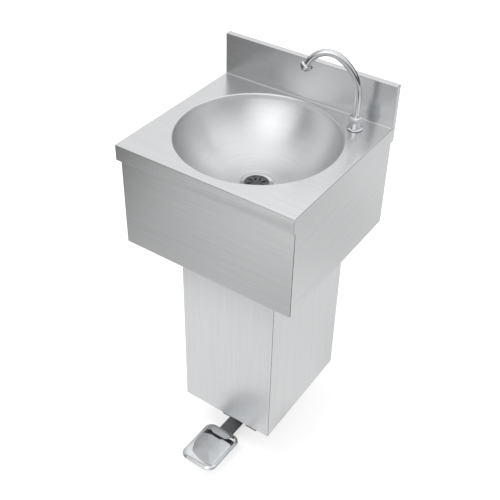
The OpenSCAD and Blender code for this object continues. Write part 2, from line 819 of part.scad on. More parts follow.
module waste_grate() {
    color("dimgray") at_waste() translate([0, 0, waste_top - grate_t]) difference() {
        linear_extrude(grate_t) difference() {
            circle(r = grate_r);
            circle(r = grate_screw_d / 2 + thread_gap, $fn = 32);
            for (i = [0:petals - 1]) rotate([0, 0, i * 360 / petals]) petal();
        }
        translate([0, 0, grate_t - 1.5]) cylinder(r1 = grate_screw_d / 2, r2 = 4.6, h = 1.5 + 0.01);
    }
}

module grate_screw() {
    head = 4.4;
    color("silver") at_waste() translate([0, 0, waste_top - 1.5]) difference() {
        union() {
            cylinder(r1 = grate_screw_d / 2 - 0.1, r2 = head, h = 1.5);
            translate([0, 0, cross_z - waste_top + 2])
                cylinder(r = grate_screw_d / 2 - 0.1, h = waste_top - cross_z - 2);
        }
        translate([-head, -0.5, 0.9]) cube([2 * head, 1, 1]);
    }
}

module waste_seal() {
    color("black") at_waste() translate([0, 0, waste_under - waste_seal_t])
        ring(seat_r - 2, tail_r + thread_gap, waste_seal_t);
}

module waste_nut() {
    color("silver") at_waste() translate([0, 0, waste_under - waste_seal_t - waste_nut_t])
        hex_nut(tail_d + 15, waste_nut_t, tail_r + thread_gap);
}

// Trap: a bottle with a dip tube, a screwed cup and an outlet to the wall
module trap_inlet_nut() {
    low = inlet_shelf - 4;
    color("whitesmoke") at_waste() translate([0, 0, low])
        grip_nut(tail_r + 6.5, tail_foot + 12 - low, pipe_r + thread_gap, tail_r + thread_gap, 4);
}

module trap_inlet_washer() {
    color("black") at_waste() translate([0, 0, inlet_shelf + 2])
        ring(tail_r - 0.2, pipe_r - pipe_wall, waste_seal_t);
}

module trap_inlet_tube() {
    dip = bottle_h - 18;
    color("whitesmoke") at_waste() difference() {
        union() {
            translate([0, 0, bottle_top - dip]) cylinder(r = pipe_r, h = inlet_shelf - bottle_top + dip);
            translate([0, 0, inlet_shelf]) cylinder(r = tail_r - 0.2, h = 2);
        }
        translate([0, 0, bottle_top - dip - eps])
            cylinder(r = pipe_r - pipe_wall, h = inlet_shelf - bottle_top + dip + 2 + 2 * eps);
    }
}

module trap_neck_nut() {
    color("whitesmoke") at_waste() translate([0, 0, bottle_top + neck_h]) slip_nut();
}

// A slip nut over a socket whose mouth is at the origin, with the pipe along +Z
module slip_nut() {
    translate([0, 0, slip_nut_start + slip_nut_h]) mirror([0, 0, 1])
        grip_nut(neck_r + 6, slip_nut_h, pipe_r + thread_gap, neck_r + thread_gap, slip_shelf);
}

module trap_neck_seal() {
    color("black") at_waste() translate([0, 0, bottle_top + neck_h])
        ring(neck_r - 0.3, pipe_r + thread_gap, seal_t);
}

module trap_bottle() {
    color("whitesmoke") at_waste() difference() {
        union() {
            translate([0, 0, bottle_foot]) cylinder(r = bottle_r, h = bottle_h);
            translate([0, 0, bottle_top]) cylinder(r = neck_r, h = neck_h);
            translate([0, 0, outlet_z]) rotate([-90, 0, 0]) cylinder(r = neck_r, h = outlet_reach);
        }
        translate([0, 0, bottle_foot - eps])
            cylinder(r = bottle_r - bottle_wall, h = bottle_h - bottle_wall + eps);
        translate([0, 0, bottle_top - bottle_wall - eps])
            cylinder(r = pipe_r + thread_gap, h = neck_h + bottle_wall + 2 * eps);
        translate([0, 0, outlet_z]) rotate([-90, 0, 0])
            cylinder(r = pipe_r - pipe_wall, h = outlet_reach + eps);
        translate([0, outlet_reach - socket_l, outlet_z]) rotate([-90, 0, 0])
            cylinder(r = outlet_tail_r + thread_gap, h = socket_l + eps);
    }
}

module trap_cup() {
    r_out = bottle_r + 4;
    lap = 18;
    color("whitesmoke") at_waste() translate([0, 0, bottle_foot - cup_h + lap]) difference() {
        union() {
            cylinder(r = bottle_r - 4, h = cup_h - lap);
            translate([0, 0, cup_h - lap - 4]) cylinder(r = r_out, h = lap + 4);
            for (i = [0:11]) rotate([0, 0, i * 30])
                translate([r_out - 0.5, -2, cup_h - lap - 4]) cube([1.8, 4, lap + 4]);
        }
        translate([0, 0, 2.5]) cylinder(r = bottle_r - 7, h = cup_h);
        translate([0, 0, cup_h - lap - cup_seal_t])
            cylinder(r = bottle_r + thread_gap, h = lap + cup_seal_t + eps);
    }
}

module trap_cup_seal() {
    color("black") at_waste() translate([0, 0, bottle_foot - cup_seal_t])
        ring(bottle_r - 0.2, bottle_r - 5, cup_seal_t);
}

module at_outlet() {
    translate([0, bowl_y, outlet_z]) rotate([-90, 0, 0]) children();
}

module trap_outlet_nut() {
    color("whitesmoke") at_outlet() translate([0, 0, outlet_reach]) slip_nut();
}

module trap_outlet_seal() {
    color("black") at_outlet() translate([0, 0, outlet_reach])
        ring(neck_r - 0.3, outlet_tail_r + thread_gap, seal_t);
}

module outlet_pipe() {
    start = outlet_reach - socket_l + 2;
    nut_end = outlet_reach + seal_t + slip_shelf;
    color("whitesmoke") at_outlet() difference() {
        union() {
            translate([0, 0, start]) cylinder(r = outlet_tail_r, h = wall_y - bowl_y - start);
            translate([0, 0, nut_end + 1]) cylinder(r = pipe_r, h = wall_y - bowl_y - nut_end - 1);
        }
        translate([0, 0, start - eps])
            cylinder(r = pipe_r - pipe_wall, h = wall_y - bowl_y - start + 2 * eps);
    }
}

// Foot valve and its floor bracket
module valve_bracket() {
    back = stem_y + bracket_tail;
    front = pivot_y - bracket_nose;
    half = cheek_gap / 2;
    mid = (front + back) / 2;
    color("gray") difference() {
        union() {
            both_sides() {
                translate([half, front, 0]) cube([bracket_half - half, back - front, bracket_t]);
                translate([half, 0, 0]) rotate([90, 0, 90]) linear_extrude(bracket_t)
                    polygon([[front, 0], [back, 0], [back, bridge_h - cheek_step],
                        [stem_y + bridge_l / 2, bridge_h], [stem_y - bridge_l / 2, bridge_h],
                        [front, pivot_h + bracket_nose]]);
            }
            translate([-half, stem_y - bridge_l / 2, bridge_h - bracket_t])
                cube([cheek_gap, bridge_l, bracket_t]);
        }
        translate([-half - bracket_t - eps, pivot_y, pivot_h]) rotate([0, 90, 0])
            cylinder(r = pin_r + run_gap, h = cheek_gap + 2 * bracket_t + 2 * eps);
        translate([0, stem_y, bridge_h - bracket_t - eps])
            cylinder(r = spigot_r + thread_gap, h = bracket_t + 2 * eps);
        for (x = [-floor_hole_x / 2, floor_hole_x / 2], y = [-floor_hole_y / 2, floor_hole_y / 2])
            translate([x, mid + y, -eps]) cylinder(r = wall_hole_r, h = bracket_t + 2 * eps);
    }
}

module at_valve() {
    translate([0, stem_y, 0]) children();
}

module valve_body() {
    color("goldenrod") at_valve() difference() {
        union() {
            translate([0, 0, bridge_h]) cylinder(r = valve_r, h = valve_h);
            translate([0, 0, bridge_h - spigot_l]) cylinder(r = spigot_r, h = spigot_l);
            translate([0, 0, valve_inlet]) rotate([-90, 0, 0]) cylinder(r = inlet_port_r, h = port_reach);
            translate([0, 0, valve_outlet]) rotate([0, 90, 0]) cylinder(r = outlet_port_r, h = port_reach);
        }
        translate([0, 0, bridge_h - spigot_l - eps]) cylinder(r = stem_r + run_gap, h = valve_h);
        translate([0, 0, bridge_h - spigot_l + 4]) cylinder(r = stem_r + groove, h = 2.4);
        translate([0, 0, bridge_h + 4]) cylinder(r = 8, h = seat_low - bridge_h - 4);
        translate([0, 0, bridge_h + 4]) cylinder(r = 6, h = seat_rim - bridge_h);
        translate([0, 0, seat_rim]) cylinder(r = chamber_r, h = valve_top - seat_rim + eps);
        translate([0, 0, valve_inlet]) rotate([-90, 0, 0]) cylinder(r = 6, h = port_reach + eps);
        translate([0, 0, valve_outlet]) rotate([0, 90, 0]) cylinder(r = 5, h = port_reach + eps);
    }
}

module valve_locknut() {
    color("goldenrod") at_valve() translate([0, 0, bridge_h - bracket_t - 8])
        hex_nut(32, 8, spigot_r + thread_gap);
}

module valve_bonnet() {
    plug = chamber_r - thread_gap;
    color("goldenrod") at_valve() translate([0, 0, valve_top]) difference() {
        union() {
            hexagon(2 * valve_r - 6, 8);
            translate([0, 0, -bonnet_plug]) cylinder(r = plug, h = bonnet_plug);
        }
        translate([0, 0, -bonnet_plug - eps]) cylinder(r = disc_r, h = spring_top - valve_top + bonnet_plug + eps);
    }
}

module valve_stem() {
    disc_z = spring_low - disc_t;
    color("silver") at_valve() {
        translate([0, 0, stem_ball]) sphere(r = stem_r);
        translate([0, 0, stem_ball]) cylinder(r = stem_r, h = disc_z - stem_ball);
        translate([0, 0, disc_z]) cylinder(r = disc_r, h = disc_t);
        translate([0, 0, spring_low]) cylinder(r = 4.5, h = 5);
    }
}

module seat_washer() {
    color("black") at_valve() translate([0, 0, seat_rim + 0.1]) ring(disc_r, stem_r + thread_gap, seat_washer_t);
}

module stem_seal() {
    color("black") at_valve() translate([0, 0, bridge_h - spigot_l + 5.2]) o_ring(stem_r + cord_mid, cord_r);
}

module valve_spring() {
    color("silver") at_valve() translate([0, 0, spring_low]) ring(7.8, 6.2, spring_top - spring_low);
}

module compression_nut(bore, af) {
    hex_nut(af, nut_h, bore + thread_gap);
}

module inlet_nut() {
    color("goldenrod") at_valve() translate([0, port_reach, valve_inlet])
        rotate([-90, 0, 0]) compression_nut(inlet_pipe_r - 0.2, 24);
}

module inlet_pipe() {
    start = port_reach;
    free_start = port_reach + nut_h + 1;
    end = wall_y - stem_y;
    color("chocolate") at_valve() translate([0, 0, valve_inlet]) rotate([-90, 0, 0]) difference() {
        union() {
            translate([0, 0, start]) cylinder(r = inlet_pipe_r - 0.2, h = end - start);
            translate([0, 0, free_start]) cylinder(r = inlet_pipe_r, h = end - free_start);
        }
        translate([0, 0, start - eps]) cylinder(r = inlet_pipe_r - copper_wall, h = end - start + 2 * eps);
    }
}

module riser_nuts() {
    color("goldenrod") {
        at_valve() translate([port_reach, 0, valve_outlet]) rotate([0, 90, 0]) compression_nut(riser_r, 20);
        at_tap() translate([0, 0, shank_foot - nut_h]) compression_nut(riser_r, 22);
    }
}

module riser_pipe() {
    r_in = riser_r - copper_wall;
    b = riser_bend;
    color("chocolate") {
        at_valve() {
            translate([port_reach, 0, valve_outlet]) rotate([0, 90, 0])
                tube_line(riser_x - b - port_reach, riser_r, r_in);
            translate([riser_x - b, 0, valve_outlet + b]) rotate([90, 0, 0]) rotate([0, 0, -90])
                tube_bend(b, 90, riser_r, r_in);
            translate([riser_x, 0, valve_outlet + b]) tube_line(riser_z - valve_outlet - 2 * b, riser_r, r_in);
        }
        translate([riser_x, stem_y, riser_z]) rotate([0, 0, riser_turn]) {
            translate([b, 0, -b]) rotate([90, 0, 0]) rotate([0, 0, 90]) tube_bend(b, 90, riser_r, r_in);
            translate([b, 0, 0]) rotate([0, 90, 0]) tube_line(riser_run - 2 * b, riser_r, r_in);
            translate([riser_run - b, 0, b]) rotate([90, 0, 0]) rotate([0, 0, -90])
                tube_bend(b, 90, riser_r, r_in);
            translate([riser_run, 0, b]) tube_line(shank_foot - riser_z - b, riser_r, r_in);
        }
    }
}

module pipe_clip() {
    z = (ped_foot + ped_top) / 2;
    plate_x = ped_x - sheet_t - bracket_t;
    wide = 14;
    arm = 6;
    foot = 36;
    color("gray") translate([0, stem_y, z]) difference() {
        union() {
            translate([riser_x, 0, 0]) cylinder(r = riser_r + 2.5, h = wide);
            translate([riser_x, -arm / 2, 0]) cube([plate_x - riser_x + eps, arm, wide]);
            translate([plate_x, -foot / 2, 0]) cube([bracket_t, foot, wide]);
        }
        translate([riser_x, 0, -eps]) cylinder(r = riser_r + thread_gap, h = wide + 2 * eps);
    }
}

// Pedal: its own frame has its origin on the pivot, -Y towards the user
module at_pedal() {
    translate([0, pivot_y, pivot_h]) rotate([-pedal_tilt, 0, 0]) children();
}

module pedal_lever() {
    end = pad_back + 2 * pad_screw_in + pad_screw_pitch;
    rear = stem_arm + 12;
    boss = pin_r + 4.5;
    color("dimgray") at_pedal() difference() {
        union() {
            translate([-lever_w / 2, -end, -lever_t / 2]) cube([lever_w, end + rear, lever_t]);
            translate([-lever_w / 2, 0, 0]) rotate([0, 90, 0]) cylinder(r = boss, h = lever_w);
        }
        translate([-lever_w / 2 - eps, 0, 0]) rotate([0, 90, 0])
            cylinder(r = pin_r + run_gap, h = lever_w + 2 * eps);
        for (y = pad_screw_y) translate([0, -y, -lever_t / 2 - eps])
            cylinder(r = pad_screw_r + thread_gap, h = lever_t + 2 * eps, $fn = 32);
    }
}

// A slab with round corners and a round upper edge, centred on the origin
module pad_slab(w, l, h, corner, edge) {
    hull() for (x = [-w / 2 + corner, w / 2 - corner], y = [-l / 2 + corner, l / 2 - corner])
        translate([x, y, 0]) rotate_extrude($fn = 32) {
            square([corner, h - edge]);
            square([corner - edge, h]);
            translate([corner - edge, h - edge]) circle(r = edge, $fn = 24);
        }
}

module pedal_pad() {
    top = pad_edge_h;
    land = lever_w / 2 + 3;
    pocket = pad_w / 2 - land - 6;
    color("silver") at_pedal() translate([0, -lever_reach + pad_l / 2, lever_t / 2]) difference() {
        union() {
            pad_slab(pad_w, pad_l, top, pad_corner_r, pad_edge_r);
            translate([0, 0, pad_edge_r]) pad_slab(pad_w - 2 * pad_border, pad_l - 2 * pad_border,
                top - pad_edge_r + pad_field_h, pad_corner_r - pad_border / 2, pad_field_h);
        }
        both_sides() translate([land, -pad_l / 2 + pad_corner_r, -eps])
            cube([pocket, pad_l - 2 * pad_corner_r, pad_edge_h - 4 + eps]);
        for (y = pad_screw_y) translate([0, lever_reach - pad_l / 2 - y, -eps])
            cylinder(r = pad_screw_r + thread_gap, h = 8 + eps, $fn = 32);
    }
}

module pad_screws() {
    color("silver") at_pedal() for (y = pad_screw_y) translate([0, -y, -lever_t / 2])
        socket_screw(pad_screw_r, lever_t + 7, 4.5, 3);
}

// Pivot: the pin lies along X and two clips hold it in the cheeks
module along_pivot(start) {
    both_sides() translate([start, pivot_y, pivot_h]) rotate([0, 90, 0]) children();
}

module pivot_pin() {
    half = clip_x + clip_t + 3;
    color("silver") difference() {
        translate([-half, pivot_y, pivot_h]) rotate([0, 90, 0]) cylinder(r = pin_r, h = 2 * half);
        along_pivot(clip_x - thread_gap) ring(pin_r + eps, pin_r - 1.2, clip_t + 2 * thread_gap);
    }
}

module pivot_clips() {
    color("black") along_pivot(clip_x) difference() {
        cylinder(r = pin_r + 3, h = clip_t);
        translate([0, 0, -eps]) cylinder(r = pin_r - 1.1, h = clip_t + 2 * eps);
        translate([-pin_r - 4, -2, -eps]) cube([pin_r + 2, 4, clip_t + 2 * eps]);
    }
}

module pivot_washers() {
    start = lever_w / 2 + free_gap;
    color("white") along_pivot(start) ring(pin_r + 4, pin_r + run_gap, cheek_gap / 2 - start);
}

deck_top();
splashback();
bowl();
apron_front();
apron_left();
apron_right();
hook_angle();
hanging_rail();
pedestal_front();
pedestal_left();
pedestal_right();
pedestal_crossbar();
cover_screws();
tap_body();
tap_gasket();
tap_shank();
tap_washer();
tap_backnut();
spout_nut();
spout_o_ring();
spout_tube();
spout_ring_nut();
spout_nozzle();
waste_flange();
waste_grate();
grate_screw();
waste_seal();
waste_nut();
trap_inlet_nut();
trap_inlet_washer();
trap_inlet_tube();
trap_neck_nut();
trap_neck_seal();
trap_bottle();
trap_cup();
trap_cup_seal();
trap_outlet_nut();
trap_outlet_seal();
outlet_pipe();
valve_bracket();
valve_body();
valve_locknut();
valve_bonnet();
valve_stem();
seat_washer();
stem_seal();
valve_spring();
inlet_nut();
inlet_pipe();
riser_nuts();
riser_pipe();
pipe_clip();
pedal_lever();
pedal_pad();
pad_screws();
pivot_pin();
pivot_clips();
pivot_washers();
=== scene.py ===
# A wall-hung hand wash sink in satin stainless steel: folded deck, round bowl, swivelling
# spout, pedestal cover and a foot valve that a pedal works. The file follows the sink as it
# is put together, from the deck down to the pedal, and ends with the studio and the camera.
import math

import bmesh
import bpy
from mathutils import Matrix, Vector


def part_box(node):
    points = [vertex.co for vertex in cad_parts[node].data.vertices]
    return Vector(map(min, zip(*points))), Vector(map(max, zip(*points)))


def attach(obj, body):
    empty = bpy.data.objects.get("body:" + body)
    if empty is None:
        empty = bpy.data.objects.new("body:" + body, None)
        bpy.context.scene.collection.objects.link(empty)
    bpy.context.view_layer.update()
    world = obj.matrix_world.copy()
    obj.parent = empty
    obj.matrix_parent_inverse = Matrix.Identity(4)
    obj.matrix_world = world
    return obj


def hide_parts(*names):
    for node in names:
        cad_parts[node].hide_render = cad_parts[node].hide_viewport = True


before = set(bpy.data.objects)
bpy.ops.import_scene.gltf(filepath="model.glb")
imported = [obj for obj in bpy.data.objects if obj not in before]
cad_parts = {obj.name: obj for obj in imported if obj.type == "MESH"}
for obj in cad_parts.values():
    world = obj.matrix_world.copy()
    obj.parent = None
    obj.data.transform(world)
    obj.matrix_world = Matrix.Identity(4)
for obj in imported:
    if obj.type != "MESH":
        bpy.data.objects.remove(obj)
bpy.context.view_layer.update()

# Deck
# One sheet of 1.2 mm stainless steel, folded down 38 mm on three sides with a hem inside,
# its corners welded and ground. The satin finish is a belt grain that runs along the width.
MM = 0.001
deck_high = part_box("deck_top")[1]
deck_z = deck_high.z


def linear(code):
    """The linear colour of an sRGB hex value, with full opacity."""
    parts = [int(code[i:i + 2], 16) / 255 for i in (0, 2, 4)]
    return tuple(p / 12.92 if p <= 0.04045 else ((p + 0.055) / 1.055) ** 2.4
                 for p in parts) + (1.0,)


def add(tree, kind, values=None, links=None, **settings):
    """Adds a node with its settings, its plain values and its links."""
    node = tree.nodes.new(kind)
    for name, value in settings.items():
        setattr(node, name, value)
    for name, value in (values or {}).items():
        node.inputs[name].default_value = value
    for name, socket in (links or {}).items():
        tree.links.new(socket, node.inputs[name])
    return node


def finish(name, colour, metallic, roughness):
    """A material with its plain values on the shader's own sockets, its tree and its shader."""
    material = bpy.data.materials.new(name)
    material.use_nodes = True
    surface = material.node_tree.nodes["Principled BSDF"]
    surface.inputs["Base Color"].default_value = linear(colour)
    surface.inputs["Metallic"].default_value = metallic
    surface.inputs["Roughness"].default_value = roughness
    return material, material.node_tree, surface


# Satin stainless steel, belt ground: a clear but blurred reflection, smeared at right angles to
# the grain, with lighter and darker runs along it. The real scratches are 0.1 mm wide, so they
# are drawn 0.7 mm wide to show.
steel_dark, steel_light = "D9DADB", "DDDEDF"
grain_width, grain_length = 0.7 * MM, 60 * MM
run_width, run_length = 7 * MM, 220 * MM
scratch_depth, scratch_strength = 0.05 * MM, 0.01
sheet_satin = (0.25, 0.285)
smear = 0.7
# A pattern gives the darker colour up to the first of these values, the lighter from the second.
pattern_low, pattern_high = 0.3, 0.7


def vary(tree, surface, tone_pattern, shine_pattern, colours, roughness):
    """Spreads the tone between two colours along one pattern, and the shine along another."""
    tone = add(tree, "ShaderNodeValToRGB", links={"Fac": tone_pattern.outputs["Fac"]})
    low, high = tone.color_ramp.elements
    low.position, high.position = pattern_low, pattern_high
    low.color, high.color = linear(colours[0]), linear(colours[1])
    tree.links.new(tone.outputs["Color"], surface.inputs["Base Color"])
    shine = add(tree, "ShaderNodeMapRange", {"To Min": roughness[0], "To Max": roughness[1]},
                {"Value": shine_pattern.outputs["Fac"]})
    tree.links.new(shine.outputs["Result"], surface.inputs["Roughness"])


def brush(tree, surface, fine, coarse, grain, satin):
    """Scratches and runs from two stretched patterns, and a smear across the grain."""
    scratches = add(tree, "ShaderNodeTexNoise", {"Scale": 1.0, "Detail": 3.0, "Roughness": 0.6},
                    {"Vector": fine})
    runs = add(tree, "ShaderNodeTexNoise", {"Scale": 1.0, "Detail": 2.0}, {"Vector": coarse})
    vary(tree, surface, runs, scratches, (steel_dark, steel_light), satin)
    bump = add(tree, "ShaderNodeBump", {"Strength": scratch_strength, "Distance": scratch_depth},
               {"Height": scratches.outputs["Fac"]})
    tree.links.new(bump.outputs["Normal"], surface.inputs["Normal"])
    facing = add(tree, "ShaderNodeNewGeometry")
    across = add(tree, "ShaderNodeVectorMath", links={0: facing.outputs["Normal"], 1: grain},
                 operation="CROSS_PRODUCT")
    # A small push leaves a direction where a face looks along its own grain.
    steady = add(tree, "ShaderNodeVectorMath", {1: (0, 0.01, 0)}, {0: across.outputs["Vector"]})
    tree.links.new(steady.outputs["Vector"], surface.inputs["Tangent"])
    surface.inputs["Anisotropic"].default_value = smear


def ground_steel(name, along):
    """Satin sheet whose grain runs along one of the object's axes."""
    material, tree, surface = finish(name, steel_light, 1.0, sheet_satin[0])
    place = add(tree, "ShaderNodeTexCoord")
    stretched = []
    for width, length in ((grain_width, grain_length), (run_width, run_length)):
        scale = [1 / width] * 3
        scale["xyz".index(along)] = 1 / length
        stretched.append(add(tree, "ShaderNodeMapping", {"Scale": scale},
                             {"Vector": place.outputs["Object"]}).outputs["Vector"])
    grain = add(tree, "ShaderNodeCombineXYZ", {along.upper(): 1.0})
    brush(tree, surface, *stretched, grain.outputs["Vector"], sheet_satin)
    return material


steel_across = ground_steel("satin_steel_grain_across", "x")
steel_back = ground_steel("satin_steel_grain_front_to_back", "y")
steel_upright = ground_steel("satin_steel_grain_upright", "z")

# Points of a solid's mesh nearer than the first are one point, and faces that turn from each
# other by less than the second are one face.
same_point = 0.001 * MM
same_face = math.radians(0.5)


def in_scene(name, data):
    """Puts a mesh, curve, lamp or camera in the scene as an object."""
    thing = bpy.data.objects.new(name, data)
    bpy.context.scene.collection.objects.link(thing)
    return thing


def plain_mesh(holder):
    """The mesh that an object's modifiers make. The object itself goes."""
    bpy.context.view_layer.update()
    ready = holder.evaluated_get(bpy.context.evaluated_depsgraph_get())
    mesh = bpy.data.meshes.new_from_object(ready)
    bpy.data.objects.remove(holder)
    return mesh


def merged(node, angle=30, edge=0.0):
    """A copy of a solid's mesh with its loose triangles joined, its flat faces made whole and
    its sharp edges broken by a small round, as a deburred part has."""
    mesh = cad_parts[node].data.copy()
    shape = bmesh.new()
    shape.from_mesh(mesh)
    bmesh.ops.remove_doubles(shape, verts=shape.verts, dist=same_point)
    if edge:
        bmesh.ops.dissolve_limit(shape, angle_limit=same_face, verts=shape.verts,
                                 edges=shape.edges)
    shape.to_mesh(mesh)
    shape.free()
    return settle(mesh, angle, edge)


def settle(mesh, angle, edge=0.0):
    """Smooth shading with its flats kept flat, and the small round on sharp edges."""
    mesh.polygons.foreach_set("use_smooth", [True] * len(mesh.polygons))
    mesh.set_sharp_from_angle(angle=math.radians(angle))
    holder = in_scene("holder", mesh)
    if edge:
        round_off = holder.modifiers.new("Edge", "BEVEL")
        round_off.limit_method = "ANGLE"
        round_off.angle_limit = math.radians(angle)
        round_off.width = edge
        round_off.segments = 2
        round_off.use_clamp_overlap = True
        round_off.harden_normals = True
    else:
        weigh = holder.modifiers.new("Flats", "WEIGHTED_NORMAL")
        weigh.keep_sharp = True
    return plain_mesh(holder)


def fit(name, mesh, material, body, slot, *nodes):
    """Puts a finished mesh in place of the solids that it stands for."""
    mesh.materials.clear()
    mesh.materials.append(material)
    piece = in_scene(name, mesh)
    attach(piece, body)
    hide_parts(*nodes)
    return piece


fit("deck", merged("deck_top"), steel_across, "root", "satin_steel", "deck_top")

# Splashback
# A second folded sheet, 104 mm high, with a 15 mm return along its top and at both ends. It
# stands on the deck against the wall and is welded to it from behind.
# The weld at its foot is dressed to a hollow round of 2.5 mm, which shows as a bright line.
splash_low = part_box("splashback")[0]
weld_r = 2.5 * MM
weld_short = 2 * MM
weld_steps = 8


def as_mesh(shape, name):
    """Turns a worked shape into a mesh and lets the shape go."""
    mesh = bpy.data.meshes.new(name)
    shape.to_mesh(mesh)
    shape.free()
    return mesh


def weld_line():
    """A hollow round between the deck and the splashback, that stops just short of the sides."""
    shape = bmesh.new()
    end = deck_high.x - weld_short
    outline = [(splash_low.y, deck_z)]
    for i in range(weld_steps + 1):
        a = math.radians(90 * i / weld_steps)
        outline.append((splash_low.y - weld_r * (1 - math.sin(a)),
                        deck_z + weld_r * (1 - math.cos(a))))
    rows = [[shape.verts.new((x, y, z)) for y, z in outline] for x in (-end, end)]
    for i in range(len(outline)):
        j = (i + 1) % len(outline)
        shape.faces.new((rows[0][i], rows[0][j], rows[1][j], rows[1][i]))
    for row in rows:
        shape.faces.new(row)
    bmesh.ops.recalc_face_normals(shape, faces=shape.faces)
    return settle(as_mesh(shape, "weld"), 50)


def joined(*meshes):
    """Several meshes as one."""
    whole = bmesh.new()
    for mesh in meshes:
        whole.from_mesh(mesh)
    return as_mesh(whole, "joined")


fit("splash_panel", joined(merged("splashback"), weld_line()), steel_across, "root", "satin_steel",
    "splashback")

# Bowl
# A round bowl, pressed from 1 mm sheet and polished in circles. Its rolled rim is welded to
# the deck and ground until no joint shows, and its floor falls to the seat of the waste.
rim_d = 376 * MM
bowl_depth = 124 * MM
bowl_wall = 1.0 * MM
rim_roll = 3.5 * MM
rim_band = 7 * MM
band_lean = math.radians(88)
side_lean = math.radians(75)
floor_lean = math.radians(8)
seat_r = 38 * MM
seat_depth = 3.5 * MM
waste_hole_r = 23.5 * MM
rim_steps, side_steps, floor_steps, ring_steps = 12, 40, 8, 256
bowl_low, bowl_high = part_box("bowl")
bowl_y = (bowl_low.y + bowl_high.y) / 2
# Points nearer than this, in metres, close a seam or a pole.
closed_gap = 1e-7


def turned(profile, steps, centre):
    """Spins a closed outline of (radius, height) points about an upright axis at the centre."""
    shape = bmesh.new()
    loops = []
    for s in range(steps):
        a = 2 * math.pi * s / steps
        loops.append([shape.verts.new((r * math.cos(a), r * math.sin(a), z)) for r, z in profile])
    for s in range(steps):
        here, after = loops[s], loops[(s + 1) % steps]
        for i in range(len(profile)):
            j = (i + 1) % len(profile)
            shape.faces.new((here[i], here[j], after[j], after[i]))
    bmesh.ops.remove_doubles(shape, verts=shape.verts, dist=closed_gap)
    bmesh.ops.recalc_face_normals(shape, faces=shape.faces)
    shape.transform(Matrix.Translation(centre))
    return as_mesh(shape, "turned")


def bowl_outline():
    """The rolled rim, an upright band, a round side and a floor that falls to the waste."""
    rim_r = rim_d / 2
    foot_r = rim_r - rim_roll * math.sin(band_lean) - rim_band * math.cos(band_lean)
    foot_z = -rim_roll * (1 - math.cos(band_lean)) - rim_band * math.sin(band_lean)
    rise = math.cos(floor_lean) - math.cos(side_lean)
    run = math.sin(side_lean) - math.sin(floor_lean)
    side_r = (bowl_depth + foot_z - (foot_r - seat_r) * math.tan(floor_lean)) / (
        rise - run * math.tan(floor_lean))
    rim = []
    for i in range(rim_steps + 1):
        a = band_lean * i / rim_steps
        rim.append((rim_r - rim_roll * math.sin(a), -rim_roll * (1 - math.cos(a)), a))
    side = []
    for i in range(side_steps + 1):
        a = side_lean + (floor_lean - side_lean) * i / side_steps
        side.append((foot_r - side_r * (math.sin(side_lean) - math.sin(a)),
                     foot_z - side_r * (math.cos(a) - math.cos(side_lean)), a))
    last = side[-1]
    for i in range(1, floor_steps + 1):
        share = i / floor_steps
        side.append((last[0] + (seat_r - last[0]) * share,
                     last[1] + (-bowl_depth - last[1]) * share, floor_lean))
    inner = [(r, z) for r, z, a in rim + side]
    seat = [(seat_r, -bowl_depth - seat_depth), (waste_hole_r, -bowl_depth - seat_depth),
            (waste_hole_r, -bowl_depth - seat_depth - bowl_wall),
            (seat_r + bowl_wall, -bowl_depth - seat_depth - bowl_wall)]
    back = rim + [(foot_r, foot_z, band_lean)] + side
    outer = [(r + bowl_wall * math.sin(a), z - bowl_wall * math.cos(a))
             for r, z, a in reversed(back)]
    return inner + seat + outer


# The bowl is polished on a lathe, so its grain runs in rings round the waste and its
# highlights are drawn out from the middle to the rim. It is a little duller than the sheets.
bowl_satin = (0.33, 0.37)


def ringed_steel():
    """Satin steel whose grain runs in rings about the waste."""
    material, tree, surface = finish("satin_steel_grain_in_rings", steel_light, 1.0,
                                     sheet_satin[0])
    place = add(tree, "ShaderNodeTexCoord")
    centred = add(tree, "ShaderNodeMapping", {"Location": (0, -bowl_y, 0)},
                  {"Vector": place.outputs["Object"]})
    flat = add(tree, "ShaderNodeVectorMath", {1: (1, 1, 0)}, {0: centred.outputs["Vector"]},
               operation="MULTIPLY")
    reach = add(tree, "ShaderNodeVectorMath", links={0: flat.outputs["Vector"]},
                operation="LENGTH")
    parts = add(tree, "ShaderNodeSeparateXYZ", links={0: centred.outputs["Vector"]})
    round_waste = add(tree, "ShaderNodeMath", links={0: parts.outputs["Y"], 1: parts.outputs["X"]},
                      operation="ARCTAN2")
    stretched = []
    for width in (grain_width, run_width):
        out = add(tree, "ShaderNodeMath", {1: 1 / width}, {0: reach.outputs["Value"]},
                  operation="MULTIPLY")
        down = add(tree, "ShaderNodeMath", {1: 1 / width}, {0: parts.outputs["Z"]},
                   operation="MULTIPLY")
        stretched.append(add(tree, "ShaderNodeCombineXYZ", links={
            "X": out.outputs[0], "Y": round_waste.outputs[0], "Z": down.outputs[0]}).outputs[0])
    grain = add(tree, "ShaderNodeVectorMath", {0: (0, 0, 1)}, {1: flat.outputs["Vector"]},
                operation="CROSS_PRODUCT")
    evened = add(tree, "ShaderNodeVectorMath", links={0: grain.outputs["Vector"]},
                 operation="NORMALIZE")
    brush(tree, surface, *stretched, evened.outputs["Vector"], bowl_satin)
    return material


bowl_mesh = settle(turned(bowl_outline(), ring_steps, (0, bowl_y, deck_z)), 40)
fit("bowl_pressing", bowl_mesh, ringed_steel(), "root", "satin_steel", "bowl")

# Apron
# Three folded panels that hide the pipes below the deck. They are welded under the deck and to
# each other at the front corners, where a fine seam stays visible. The seam is drawn wider than
# the real one, so that it shows, and its dark line is painted shade.
apron_seam = 1.9 * MM
panel_end = 1 * MM
end_faces_front = -0.2


def seamed(mesh, gap):
    """Draws a panel's front end back by the gap, so that its seam with the front one shows."""
    front = min(vertex.co.y for vertex in mesh.vertices)
    for vertex in mesh.vertices:
        if vertex.co.y < front + panel_end:
            vertex.co.y += gap
    return mesh
